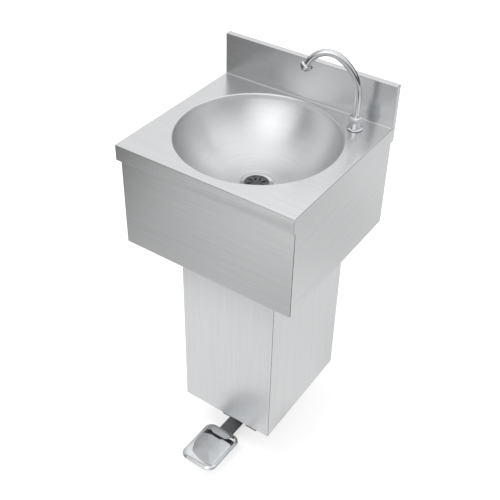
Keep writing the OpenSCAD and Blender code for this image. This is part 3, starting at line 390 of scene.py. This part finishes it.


# Painted shade for the seams: a nearly black, quite dull finish on the side panels' end faces
# stands in for the shade inside the gap.
seam_dirt = finish("seam_painted_shade_black", "1C1C1E", 0.0, 0.8)[0]


def darkened_end(panel):
    """Blackens the panel's end face with painted shade, which shows only through the seam."""
    mesh = panel.data
    mesh.materials.append(seam_dirt)
    front = min(vertex.co.y for vertex in mesh.vertices)
    for face in mesh.polygons:
        if face.normal.y < end_faces_front and face.center.y < front + panel_end:
            face.material_index = 1


fit("apron_front_panel", merged("apron_front", edge=0.5 * MM), steel_across, "root", "satin_steel",
    "apron_front")
for node in ("apron_left", "apron_right"):
    panel = fit(node + "_panel", seamed(merged(node, edge=0.2 * MM), apron_seam), steel_back,
                "root", "satin_steel", node)
    # The end face gets painted shade, so that the seam shows dark.
    darkened_end(panel)

# Wall fixing
# A folded hanging rail of 3 mm stainless steel is bolted to the wall, and a hook angle under
# the deck drops into it. Both are left as rolled, so they look duller than the panels.


def mottled(name, dark, light, metallic, roughness, patch, dent=0.0):
    """A finish whose tone and shine drift in soft patches, with dents of the given depth."""
    material, tree, surface = finish(name, light, metallic, roughness[0])
    place = add(tree, "ShaderNodeTexCoord")
    drift = add(tree, "ShaderNodeTexNoise", {"Scale": 1 / patch, "Detail": 4.0, "Roughness": 0.55},
                {"Vector": place.outputs["Object"]})
    vary(tree, surface, drift, drift, (dark, light), roughness)
    if dent:
        bump = add(tree, "ShaderNodeBump", {"Strength": 0.3, "Distance": dent},
                   {"Height": drift.outputs["Fac"]})
        tree.links.new(bump.outputs["Normal"], surface.inputs["Normal"])
    return material


# Hot-rolled and pickled sheet: a dull, slightly cloudy grey with no clear reflection.
mill_steel = mottled("mill_finish_steel", "A6A8AA", "BDBFC1", 1.0, (0.34, 0.46), 12 * MM,
                     0.05 * MM)
for node in ("hanging_rail", "hook_angle", "pedestal_crossbar"):
    fit(node + "_bar", merged(node, edge=0.3 * MM), mill_steel, "root", "plain_steel", node)

# Pedestal
# A tall cover in three folded panels. The sides are screwed to the wall, the front hooks
# over a crossbar between them and two socket screws hold it from below.
cover_seam = 0.7 * MM
fit("pedestal_front_panel", merged("pedestal_front", edge=0.55 * MM), steel_upright, "root",
    "satin_steel", "pedestal_front")
for node in ("pedestal_left", "pedestal_right"):
    panel = fit(node + "_panel", seamed(merged(node, edge=0.2 * MM), cover_seam), steel_upright,
                "root", "satin_steel", node)
    # The end face gets painted shade, so that the seam shows dark.
    darkened_end(panel)
# Cold-formed stainless screws: bright, with a faint drift in their shine.
screw_steel = mottled("bright_screw_steel", "BCBEC0", "CCCED0", 1.0, (0.16, 0.26), 3 * MM)
fit("cover_screw_pair", merged("cover_screws", edge=0.2 * MM), screw_steel, "root", "screw_steel",
    "cover_screws")

# Tap
# A chromed brass body on the deck's right rear corner, sealed by a rubber ring and clamped
# from below by a nut on its threaded shank. A chromed hexagon nut holds the spout.

# Polished chrome on brass: a sharp, slightly cool mirror with a very faint waviness.
chrome = mottled("polished_chrome", "D0D2D4", "D8DADC", 1.0, (0.03, 0.06), 20 * MM, 0.01 * MM)
# Machined brass: warm yellow, with the soft shine that a turning tool leaves.
brass = mottled("turned_brass", "BE9650", "CFA963", 1.0, (0.22, 0.34), 8 * MM)
# Moulded nitrile rubber: black and dull, with a fine bloom.
rubber = mottled("moulded_rubber", "161617", "242426", 0.0, (0.55, 0.7), 2 * MM, 0.02 * MM)
fit("tap_casting", merged("tap_body", edge=0.4 * MM), chrome, "root", "chrome", "tap_body")
fit("tap_hexagon_nut", merged("spout_nut", edge=0.5 * MM), chrome, "root", "chrome", "spout_nut")
for node in ("tap_gasket", "spout_o_ring"):
    fit(node + "_ring", merged(node), rubber, "root", "rubber", node)
for node in ("tap_shank", "tap_backnut"):
    fit(node + "_turning", merged(node, edge=0.4 * MM), brass, "root", "brass", node)
fit("tap_washer_disc", merged("tap_washer", edge=0.3 * MM), mill_steel, "root", "plain_steel",
    "tap_washer")

# Spout
# A chromed tube of 16 mm, bent over in one wide and one tight bend, that turns in the tap's
# body. A ring nut at its tip holds a turned nozzle with nine holes.

# The tube's radius is 0.1 mm under the real 8 mm, so that its top stays in the solid's box.
tube_r = 7.9 * MM
tube_sides = 48
straight_to = 40 * MM
rise = 78 * MM
wide_r, wide_turn = 105 * MM, 57
tight_r, tight_turn = 43 * MM, 96
bend_step = 3
tip_length = 14 * MM
spout_turn = 200
tap_foot_low, tap_foot_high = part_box("tap_body")
tap_x = (tap_foot_low.x + tap_foot_high.x) / 2
tap_y = (tap_foot_low.y + tap_foot_high.y) / 2
spout_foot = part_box("spout_tube")[0].z - deck_z


def bend(centre, radius, start, sweep):
    """Points on an arc that starts at an angle and turns clockwise by the sweep, in degrees."""
    count = max(2, round(sweep / bend_step))
    return [(centre[0] + radius * math.cos(math.radians(start - sweep * i / count)),
             centre[1] + radius * math.sin(math.radians(start - sweep * i / count)))
            for i in range(count + 1)]


def spout_path():
    """The tube's middle line, from its foot in the tap's body to its tip."""
    wide_centre = (wide_r, rise)
    first = bend(wide_centre, wide_r, 180, wide_turn)
    start = 180 - wide_turn
    reach = wide_r - tight_r
    tight_centre = (wide_centre[0] + reach * math.cos(math.radians(start)),
                    wide_centre[1] + reach * math.sin(math.radians(start)))
    second = bend(tight_centre, tight_r, start, tight_turn)
    fall = math.radians(start - tight_turn)
    tip = (second[-1][0] + tip_length * math.sin(fall),
           second[-1][1] - tip_length * math.cos(fall))
    flat = [(0, spout_foot), (0, straight_to)] + first + second[1:] + [tip]
    a = math.radians(spout_turn)
    return [(tap_x + x * math.cos(a), tap_y + x * math.sin(a), deck_z + z) for x, z in flat]


def tube_tree():
    """Geometry nodes that draw a round tube of a given radius along a curve."""
    tree = bpy.data.node_groups.new("Tube along a path", "GeometryNodeTree")
    for name, kind in (("Path", "NodeSocketGeometry"), ("Tube radius", "NodeSocketFloat"),
                       ("Finish", "NodeSocketMaterial")):
        tree.interface.new_socket(name, in_out="INPUT", socket_type=kind)
    tree.interface.new_socket("Tube", in_out="OUTPUT", socket_type="NodeSocketGeometry")
    given = add(tree, "NodeGroupInput")
    circle = add(tree, "GeometryNodeCurvePrimitiveCircle", {"Resolution": tube_sides},
                 {"Radius": given.outputs["Tube radius"]})
    tube = add(tree, "GeometryNodeCurveToMesh", {"Fill Caps": True},
               {"Curve": given.outputs["Path"], "Profile Curve": circle.outputs["Curve"]})
    whole = add(tree, "GeometryNodeRealizeInstances", links={"Geometry": tube.outputs["Mesh"]})
    coated = add(tree, "GeometryNodeSetMaterial", links={
        "Geometry": whole.outputs["Geometry"], "Material": given.outputs["Finish"]})
    add(tree, "NodeGroupOutput", links={"Tube": coated.outputs["Geometry"]})
    return tree


def run_tree(name, data, tree, inputs):
    """Runs geometry nodes on a curve or mesh and returns the plain mesh that comes out."""
    holder = in_scene(name, data)
    maker = holder.modifiers.new("Make", "NODES")
    maker.node_group = tree
    sockets = {item.name: item.identifier for item in tree.interface.items_tree
               if item.in_out == "INPUT"}
    for key, value in inputs.items():
        maker[sockets[key]] = value
    return plain_mesh(holder)


def path_curve(points):
    """A curve of straight stretches through the points."""
    curve = bpy.data.curves.new("path", "CURVE")
    curve.dimensions = "3D"
    line = curve.splines.new("POLY")
    line.points.add(len(points) - 1)
    for spot, point in zip(line.points, points):
        spot.co = (*point, 1)
    return curve


spout_mesh = run_tree("spout", path_curve(spout_path()), tube_tree(),
                      {"Tube radius": tube_r, "Finish": chrome})
fit("swan_neck", settle(spout_mesh, 50), chrome, "spout", "chrome", "spout_tube")
fit("spout_ring", merged("spout_ring_nut", edge=0.4 * MM), chrome, "spout", "chrome",
    "spout_ring_nut")
# Turned stainless steel: lathe-bright, a little softer than the chrome beside it.
nozzle_steel = mottled("turned_nozzle_steel", "B8BABC", "C8CACC", 1.0, (0.16, 0.26), 4 * MM)
fit("spout_outlet", merged("spout_nozzle", edge=0.2 * MM), nozzle_steel, "spout", "nozzle_steel",
    "spout_nozzle")

# Waste
# A chromed flange that sits in the bowl's seat and is pulled down by a nut below a seal. A
# stamped strainer with petal slots lies in it, held by one screw.
# Below this height the flange's inside gets painted shade.
dull_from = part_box("waste_grate")[0].z + 0.5 * MM
dull_fade = 1 * MM


# Chrome plate where it shows. Inside, below the strainer, it is painted nearly black as shade in
# the drain.
def dulled_chrome():
    """Chrome that fades to a nearly black painted shade over a short height below the strainer."""
    material = mottled("chrome_painted_shade_inside", "DDDFE1", "E3E5E7", 1.0, (0.04, 0.09), 20 * MM)
    tree = material.node_tree
    surface = tree.nodes["Principled BSDF"]
    place = add(tree, "ShaderNodeTexCoord")
    height = add(tree, "ShaderNodeSeparateXYZ", links={0: place.outputs["Object"]})
    plated = add(tree, "ShaderNodeMapRange",
                 {"From Min": dull_from - dull_fade, "From Max": dull_from},
                 {"Value": height.outputs["Z"]})
    bright = surface.inputs["Base Color"].links[0].from_socket
    # A Mix node's colour sockets share their names with others, so they go by number.
    dulled, plate, colour = 6, 7, 2
    tone = add(tree, "ShaderNodeMix", {dulled: linear("242220")},
               {0: plated.outputs["Result"], plate: bright}, data_type="RGBA")
    tree.links.new(tone.outputs[colour], surface.inputs["Base Color"])
    return material


fit("waste_rim", merged("waste_flange", edge=0.4 * MM), dulled_chrome(), "root", "chrome",
    "waste_flange")
# Stamped sheet that years of hard water have dulled: dark grey against the bright flange.
grate_steel = mottled("stamped_strainer_steel", "5E6062", "76787A", 1.0, (0.3, 0.42), 5 * MM,
                      0.03 * MM)
fit("strainer_plate", merged("waste_grate", edge=0.2 * MM), grate_steel, "root", "strainer_steel",
    "waste_grate")
fit("strainer_screw", merged("grate_screw", edge=0.2 * MM), grate_steel, "root", "screw_steel",
    "grate_screw")
fit("waste_seal_ring", merged("waste_seal", edge=0.3 * MM), rubber, "root", "rubber", "waste_seal")

# Trap
# A white polypropylene bottle trap under the waste: ribbed slip nuts with rubber seals, a
# dip tube, a screwed cup that comes off for cleaning, and a pipe that goes into the wall.

# Moulded polypropylene: a milky white with a waxy shine and shallow mould ripple.
trap_white = mottled("moulded_polypropylene", "E6E5DF", "EFEEE9", 0.0, (0.34, 0.44), 15 * MM,
                     0.04 * MM)
for node in ("waste_nut", "trap_inlet_nut", "trap_inlet_tube", "trap_neck_nut", "trap_bottle",
             "trap_cup", "trap_outlet_nut", "outlet_pipe"):
    fit(node + "_moulding", merged(node, edge=0.6 * MM), trap_white, "root", "trap_plastic", node)
for node in ("trap_inlet_washer", "trap_neck_seal", "trap_cup_seal", "trap_outlet_seal"):
    fit(node + "_ring", merged(node, edge=0.3 * MM), rubber, "root", "rubber", node)

# Foot valve
# A brass valve on a folded floor bracket. The lever's tail lifts its stem off the seat, and
# the spring above shuts it again. Copper pipes bring the water in and take it up to the tap.

# Drawn copper tube: salmon pink, browned in patches where it was handled.
copper = mottled("drawn_copper", "A86B4B", "D0906C", 1.0, (0.24, 0.38), 14 * MM)
for node in ("valve_bracket", "pipe_clip"):
    fit(node + "_plate", merged(node, edge=0.4 * MM), mill_steel, "root", "plain_steel", node)
for node in ("valve_body", "valve_locknut", "valve_bonnet", "inlet_nut", "riser_nuts"):
    fit(node + "_turning", merged(node, edge=0.4 * MM), brass, "root", "brass", node)
for node in ("inlet_pipe", "riser_pipe"):
    fit(node + "_tube", merged(node, angle=40), copper, "root", "copper", node)
fit("stem_seal_ring", merged("stem_seal"), rubber, "root", "rubber", "stem_seal")
# Oil-tempered spring wire: dark and even, with a soft sheen.
spring_wire = mottled("oil_tempered_spring_wire", "55575A", "6E7073", 1.0, (0.28, 0.38), 4 * MM)
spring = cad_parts["valve_spring"]
spring.data.materials.clear()
spring.data.materials.append(spring_wire)
fit("stem_rod", merged("valve_stem", edge=0.3 * MM), screw_steel, "stem", "screw_steel",
    "valve_stem")
fit("seat_washer_ring", merged("seat_washer", edge=0.3 * MM), rubber, "stem", "rubber",
    "seat_washer")

# Pedal
# A flat steel lever on a pivot pin, with a chromed pad that is screwed on from below. The
# pad is a casting with a sloping flank and a domed field that stands a step above it.

# Phosphated and oiled steel: charcoal grey and half dull, with a fine crystal mottle.
phosphated = mottled("phosphated_steel", "707174", "848588", 0.9, (0.3, 0.42), 2.5 * MM,
                     0.02 * MM)
fit("lever_bar", merged("pedal_lever", edge=0.5 * MM), phosphated, "pedal", "lever_steel",
    "pedal_lever")
pad_x, pad_y, pad_corner = 52 * MM, 68 * MM, 24 * MM
least_corner, corner_steps = 1 * MM, 12
pad_out = 148 * MM
pad_base = 3 * MM
pad_tilt = math.radians(3.5)
pin_low, pin_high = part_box("pivot_pin")
pad_place = (Matrix.Translation((pin_low + pin_high) / 2) @ Matrix.Rotation(-pad_tilt, 4, "X")
             @ Matrix.Translation((0, -pad_out, pad_base)))
# The pad's section from its foot to its crown, as (distance in from the outline, height) in mm.
pad_foot = [(1.0, 0), (0.3, 0.3), (0, 1.0), (0, 2.4)]
# The flank climbs in short steps, each leaning in by a few degrees more than the last.
flank_steps, flank_step = 11, 0.87
flank_lean, flank_curl = 28, 3
pad_step = [(7.3, 9.25), (8.1, 9.45), (8.8, 9.6), (9.3, 9.9), (9.9, 10.25), (10.8, 10.5),
            (12, 10.7)]
# The domed field, from its edge to the crown.
field_insets = (15, 19, 24, 30, 37, 45)
field_edge, crown_inset = 12, 45
crown_z, crown_rise = 12.9, 2.2
# The two pockets below: width, length and height, middle line and rounding.
core_size = (23 * MM, 88 * MM, 12 * MM)
core_x, core_round = 34.5 * MM, 2 * MM


def pad_ring(shape, inset, z):
    """Points round the pad's outline, moved in by the inset, at a height."""
    corner = max(pad_corner - inset, least_corner)
    ring = []
    for k, (sx, sy) in enumerate(((1, 1), (-1, 1), (-1, -1), (1, -1))):
        for i in range(corner_steps + 1):
            a = math.radians(90 * (k + i / corner_steps))
            x = sx * (pad_x - inset - corner) + corner * math.cos(a)
            y = sy * (pad_y - inset - corner) + corner * math.sin(a)
            ring.append(shape.verts.new((x, y, z)))
    return ring


def pad_mesh():
    """The pad's section carried round its outline and closed above and below."""
    profile = list(pad_foot)
    for i in range(flank_steps):
        lean = math.radians(flank_lean + flank_curl * i)
        inset, z = profile[-1]
        profile.append((inset + flank_step * math.sin(lean), z + flank_step * math.cos(lean)))
    profile += pad_step
    for inset in field_insets:
        fall = ((crown_inset - inset) / (crown_inset - field_edge)) ** 2
        profile.append((inset, crown_z - crown_rise * fall))
    shape = bmesh.new()
    rings = [pad_ring(shape, inset * MM, z * MM) for inset, z in profile]
    for low, high in zip(rings, rings[1:]):
        for i in range(len(low)):
            j = (i + 1) % len(low)
            shape.faces.new((low[i], low[j], high[j], high[i]))
    shape.faces.new(rings[-1])
    shape.faces.new(list(reversed(rings[0])))
    bmesh.ops.remove_doubles(shape, verts=shape.verts, dist=closed_gap)
    bmesh.ops.recalc_face_normals(shape, faces=shape.faces)
    return as_mesh(shape, "pad")


def cored(mesh):
    """Cuts the two pockets that leave a land for the lever between them."""
    core = bmesh.new()
    for side in (-1, 1):
        made = bmesh.ops.create_cube(core, size=1)["verts"]
        bmesh.ops.scale(core, verts=made, vec=core_size)
        bmesh.ops.translate(core, verts=made, vec=(side * core_x, 0, 0))
    bmesh.ops.bevel(core, geom=core.edges, offset=core_round, segments=2, affect="EDGES")
    tool = in_scene("core", as_mesh(core, "core"))
    holder = in_scene("holder", mesh)
    cut = holder.modifiers.new("Core", "BOOLEAN")
    cut.operation, cut.object, cut.solver = "DIFFERENCE", tool, "EXACT"
    result = plain_mesh(holder)
    bpy.data.objects.remove(tool)
    return result


pad_casting = settle(cored(pad_mesh()), 35)
pad_casting.transform(pad_place)
fit("pad_casting", pad_casting, chrome, "pedal", "chrome", "pedal_pad")
fit("pad_screw_pair", merged("pad_screws", edge=0.2 * MM), screw_steel, "pedal", "screw_steel",
    "pad_screws")
fit("pivot_rod", merged("pivot_pin", edge=0.3 * MM), screw_steel, "root", "screw_steel",
    "pivot_pin")
fit("pivot_clip_pair", merged("pivot_clips"), phosphated, "root", "lever_steel", "pivot_clips")
# Moulded nylon: off-white and slightly waxy.
nylon = mottled("moulded_nylon", "E2E0D4", "ECEADF", 0.0, (0.3, 0.4), 3 * MM)
fit("pivot_washer_pair", merged("pivot_washers", edge=0.3 * MM), nylon, "root", "nylon",
    "pivot_washers")

# Studio
# A white floor and a soft white sky. The steel mirrors levels that were fitted to the main
# view: two rings of soft light round the object, dim behind its right side and at its front
# left corner, above a dim band along the horizon.
scene = bpy.context.scene
scene.view_settings.view_transform = "Standard"
world = bpy.data.worlds.new("studio")
scene.world = world
world.use_nodes = True
sky = world.node_tree
plain_white = (1, 1, 1, 1)
# Stops of (heading in degrees, level); heading 0 is behind the object and 90 at its right.
low_ring = ((0, 0.4), (14, 0.05), (42, 0.05), (60, 0.85), (90, 0.47), (120, 0.35), (150, 1.25),
            (180, 1.5), (201, 0.9), (211, 0.15), (238, 0.6), (270, 0.8), (300, 0.85), (330, 0.7),
            (345, 0.35), (360, 0.4))
high_ring = ((0, 1.25), (14, 0.95), (42, 0.95), (60, 1.3), (110, 1.0), (160, 1.5), (203, 1.35),
             (216, 0.5), (250, 0.75), (285, 0.9), (320, 1.1), (345, 1.3), (360, 1.2))
zenith = 1.2
# Heights are sines of the angle above the horizon: of the rings and the zenith, and of where
# the dim band starts to clear and where it has gone.
low_z, high_z, top_z = 0.15, 0.68, 0.98
horizon_level, horizon_z, clear_z = 0.25, 0.04, 0.16
# What dull surfaces get, the same from all sides.
ambient = 0.6


def ramp(tree, source, stops):
    """A smooth run of grey levels, kept at half their height because a ramp ends at 1."""
    node = add(tree, "ShaderNodeValToRGB", links={"Fac": source})
    node.color_ramp.interpolation = "EASE"
    points = node.color_ramp.elements
    for place, level in stops[1:-1]:
        points.new(place)
    for point, (place, level) in zip(points, stops):
        point.color = (level / 2, level / 2, level / 2, 1)
    whole = add(tree, "ShaderNodeMath", {1: 2.0}, {0: node.outputs["Color"]},
                operation="MULTIPLY")
    return whole.outputs[0]


direction = add(sky, "ShaderNodeTexCoord")
axes = add(sky, "ShaderNodeSeparateXYZ", links={0: direction.outputs["Generated"]})
heading = add(sky, "ShaderNodeMath", links={0: axes.outputs["X"], 1: axes.outputs["Y"]},
              operation="ARCTAN2")
part = add(sky, "ShaderNodeMath", {1: 1 / math.tau}, {0: heading.outputs[0]},
           operation="MULTIPLY")
turn_part = add(sky, "ShaderNodeMath", links={0: part.outputs[0]}, operation="FRACT")
rings = [ramp(sky, turn_part.outputs[0], [(angle / 360, level) for angle, level in ring])
         for ring in (low_ring, high_ring)]
side_light = add(sky, "ShaderNodeMapRange", {"From Min": low_z, "From Max": high_z},
                 {"Value": axes.outputs["Z"], "To Min": rings[0], "To Max": rings[1]})
mirrored = add(sky, "ShaderNodeMapRange",
               {"From Min": high_z, "From Max": top_z, "To Max": zenith},
               {"Value": axes.outputs["Z"], "To Min": side_light.outputs["Result"]})
above_horizon = add(sky, "ShaderNodeMapRange",
                    {"From Min": horizon_z, "From Max": clear_z, "To Min": horizon_level},
                    {"Value": axes.outputs["Z"]}, interpolation_type="SMOOTHSTEP")
shown = add(sky, "ShaderNodeMath", links={
    0: mirrored.outputs["Result"], 1: above_horizon.outputs["Result"]}, operation="MULTIPLY")
ray = add(sky, "ShaderNodeLightPath")
by_mirror = add(sky, "ShaderNodeMath", links={
    0: ray.outputs["Is Glossy Ray"], 1: ray.outputs["Is Transmission Ray"]}, operation="MAXIMUM")
unseen = add(sky, "ShaderNodeMapRange", {"To Min": ambient},
             {"Value": by_mirror.outputs[0], "To Max": shown.outputs[0]})
level = add(sky, "ShaderNodeMapRange", {"To Max": 1.0},
            {"Value": ray.outputs["Is Camera Ray"], "To Min": unseen.outputs["Result"]})
sky.nodes["Background"].inputs["Color"].default_value = plain_white
sky.links.new(level.outputs["Result"], sky.nodes["Background"].inputs["Strength"])


def stage_plane(name, corners, material):
    """A flat sheet of the studio, which isn't part of the object."""
    mesh = bpy.data.meshes.new(name)
    mesh.from_pydata(corners, [], [tuple(range(len(corners)))])
    mesh.materials.append(material)
    plane = in_scene(name, mesh)


# White paper sweep. What steel mirrors of it glows with a painted tone instead of being lit:
# darker in a gap at the left, along a band in front and far from the object, with a painted shadow
# below the pedestal. Lengths here are in metres.
floor_half = 6
paper_colour = (0.8, 0.8, 0.8, 1)
# Stops of (x, level) across the paper.
paper_x = ((-2.9, 0.85), (-2.2, 0.65), (-1.5, 0.06), (-1.15, 0.34), (-0.95, 0.76), (-0.7, 0.88),
           (-0.35, 0.97), (0.1, 0.9), (0.8, 0.88))
# The band: its middle line, half its width, what it takes away, and where it fades out in x.
band_y, band_half, band_depth = -0.8, 0.24, 0.72
band_from_x, band_to_x = 0.5, 0.1
far_from, far_to, far_level = 1.8, 2.6, 0.75
# Dark patches: (x, y, radius where it starts to fade, radius where it ends, level inside). The
# first is a painted shadow below the pedestal.
dark_patches = ((-0.02, 0.06, 0.15, 0.2, 0.04), (-0.3, 0.5, 0.35, 0.55, 0.1),
                (1.0, -1.5, 0.6, 0.9, 0.08), (0.8, 0.9, 0.1, 0.45, 0.78))
darkest = 0.05
# The paper keeps the object's shadow near it and turns plain white away from it.
lift_from, lift_to, lift_near, lift_far = 1.0, 2.5, 0.6, 1.0


def floor_finish():
    """The paper as the camera, the steel and the lamps see it."""
    material = bpy.data.materials.new("studio_floor")
    material.use_nodes = True
    tree = material.node_tree
    tree.nodes.clear()
    place = add(tree, "ShaderNodeTexCoord")
    spot = add(tree, "ShaderNodeSeparateXYZ", links={0: place.outputs["Object"]})
    first, last = paper_x[0][0], paper_x[-1][0]
    along = add(tree, "ShaderNodeMapRange", {"From Min": first, "From Max": last},
                {"Value": spot.outputs["X"]})
    paper_level = ramp(tree, along.outputs["Result"],
                       [((x - first) / (last - first), level) for x, level in paper_x])
    off_band = add(tree, "ShaderNodeMath", {1: band_y}, {0: spot.outputs["Y"]},
                   operation="SUBTRACT")
    off_band = add(tree, "ShaderNodeMath", links={0: off_band.outputs[0]}, operation="ABSOLUTE")
    in_band = add(tree, "ShaderNodeMapRange",
                  {"From Min": 0.0, "From Max": band_half, "To Min": band_depth, "To Max": 0.0},
                  {"Value": off_band.outputs[0]})
    band_side = add(tree, "ShaderNodeMapRange", {"From Min": band_from_x, "From Max": band_to_x},
                    {"Value": spot.outputs["X"]})
    band = add(tree, "ShaderNodeMath", links={
        0: in_band.outputs["Result"], 1: band_side.outputs["Result"]}, operation="MULTIPLY")
    banded = add(tree, "ShaderNodeMath", links={0: paper_level, 1: band.outputs[0]},
                 operation="SUBTRACT")
    reach = add(tree, "ShaderNodeVectorMath", links={0: place.outputs["Object"]},
                operation="LENGTH")
    far = add(tree, "ShaderNodeMapRange",
              {"From Min": far_from, "From Max": far_to, "To Min": 1.0, "To Max": far_level},
              {"Value": reach.outputs["Value"]}, interpolation_type="SMOOTHSTEP")
    tone = add(tree, "ShaderNodeMath", links={0: banded.outputs[0], 1: far.outputs["Result"]},
               operation="MULTIPLY")
    for x, y, inside, outside, dark in dark_patches:
        away = add(tree, "ShaderNodeVectorMath", {1: (x, y, 0)}, {0: place.outputs["Object"]},
                   operation="DISTANCE")
        patch = add(tree, "ShaderNodeMapRange",
                    {"From Min": inside, "From Max": outside, "To Min": dark},
                    {"Value": away.outputs["Value"]}, interpolation_type="SMOOTHSTEP")
        tone = add(tree, "ShaderNodeMath", links={0: tone.outputs[0], 1: patch.outputs["Result"]},
                   operation="MULTIPLY")
    tone = add(tree, "ShaderNodeMath", {1: darkest}, {0: tone.outputs[0]}, operation="MAXIMUM")
    paper = add(tree, "ShaderNodeBsdfDiffuse", {"Color": paper_colour})
    # The paper that steel mirrors glows with the painted tone, its painted shadow included.
    mirrored_paper = add(tree, "ShaderNodeEmission", {"Color": plain_white},
                         {"Strength": tone.outputs[0]})
    whiten = add(tree, "ShaderNodeMapRange",
                 {"From Min": lift_from, "From Max": lift_to, "To Min": lift_near,
                  "To Max": lift_far},
                 {"Value": reach.outputs["Value"]}, interpolation_type="SMOOTHSTEP")
    lift = add(tree, "ShaderNodeEmission", {"Color": plain_white},
               {"Strength": whiten.outputs["Result"]})
    white = add(tree, "ShaderNodeAddShader", links={0: paper.outputs[0], 1: lift.outputs[0]})
    path = add(tree, "ShaderNodeLightPath")
    unseen = add(tree, "ShaderNodeMixShader", links={
        "Fac": path.outputs["Is Glossy Ray"], 1: paper.outputs[0], 2: mirrored_paper.outputs[0]})
    seen = add(tree, "ShaderNodeMixShader", links={
        "Fac": path.outputs["Is Camera Ray"], 1: unseen.outputs[0], 2: white.outputs[0]})
    add(tree, "ShaderNodeOutputMaterial", links={"Surface": seen.outputs[0]})
    return material


def softbox(name, size, energy, spot, aim, mirrored):
    """A soft rectangular lamp at a spot, turned to the point that it aims at."""
    lamp = bpy.data.lights.new(name, "AREA")
    lamp.shape = "RECTANGLE"
    lamp.size, lamp.size_y = size
    lamp.energy = energy
    box = in_scene(name, lamp)
    facing = (Vector(spot) - Vector(aim)).to_track_quat("Z", "Y").to_matrix().to_4x4()
    box.matrix_world = Matrix.Translation(spot) @ facing
    box.visible_camera = False
    box.visible_glossy = mirrored


stage_plane("floor", [(x * floor_half, y * floor_half, 0)
                      for x, y in ((-1, -1), (1, -1), (1, 1), (-1, 1))], floor_finish())
softbox("overhead_softbox", size=(1.6, 1.2), energy=22, spot=(-0.6, -0.2, 2.6),
        aim=(-0.25, 0.1, 1.6), mirrored=False)
softbox("front_softbox", size=(1.1, 1.6), energy=1.5, spot=(0.46, -2.18, 2.9),
        aim=(0, 0, 0.85), mirrored=True)

# The photo's viewpoint, fitted to the corners of the deck, apron, splashback and pedestal and
# to the bowl's rim.
eye = bpy.data.cameras.new("photo_view")
eye.lens = 60.94
eye.sensor_width = 36
eye.shift_y = -0.076
eye_place = (0.85279, -1.28900, 1.86692)
right = Vector((0.825782, 0.563687, 0.018481))
up = Vector((-0.350869, 0.487803, 0.799337))
back = Vector((0.441560, -0.666562, 0.600599))
turn = Matrix((right, up, back)).transposed().to_4x4()
camera = in_scene("photo_view", eye)
camera.matrix_world = Matrix.Translation(eye_place) @ turn
scene.camera = camera
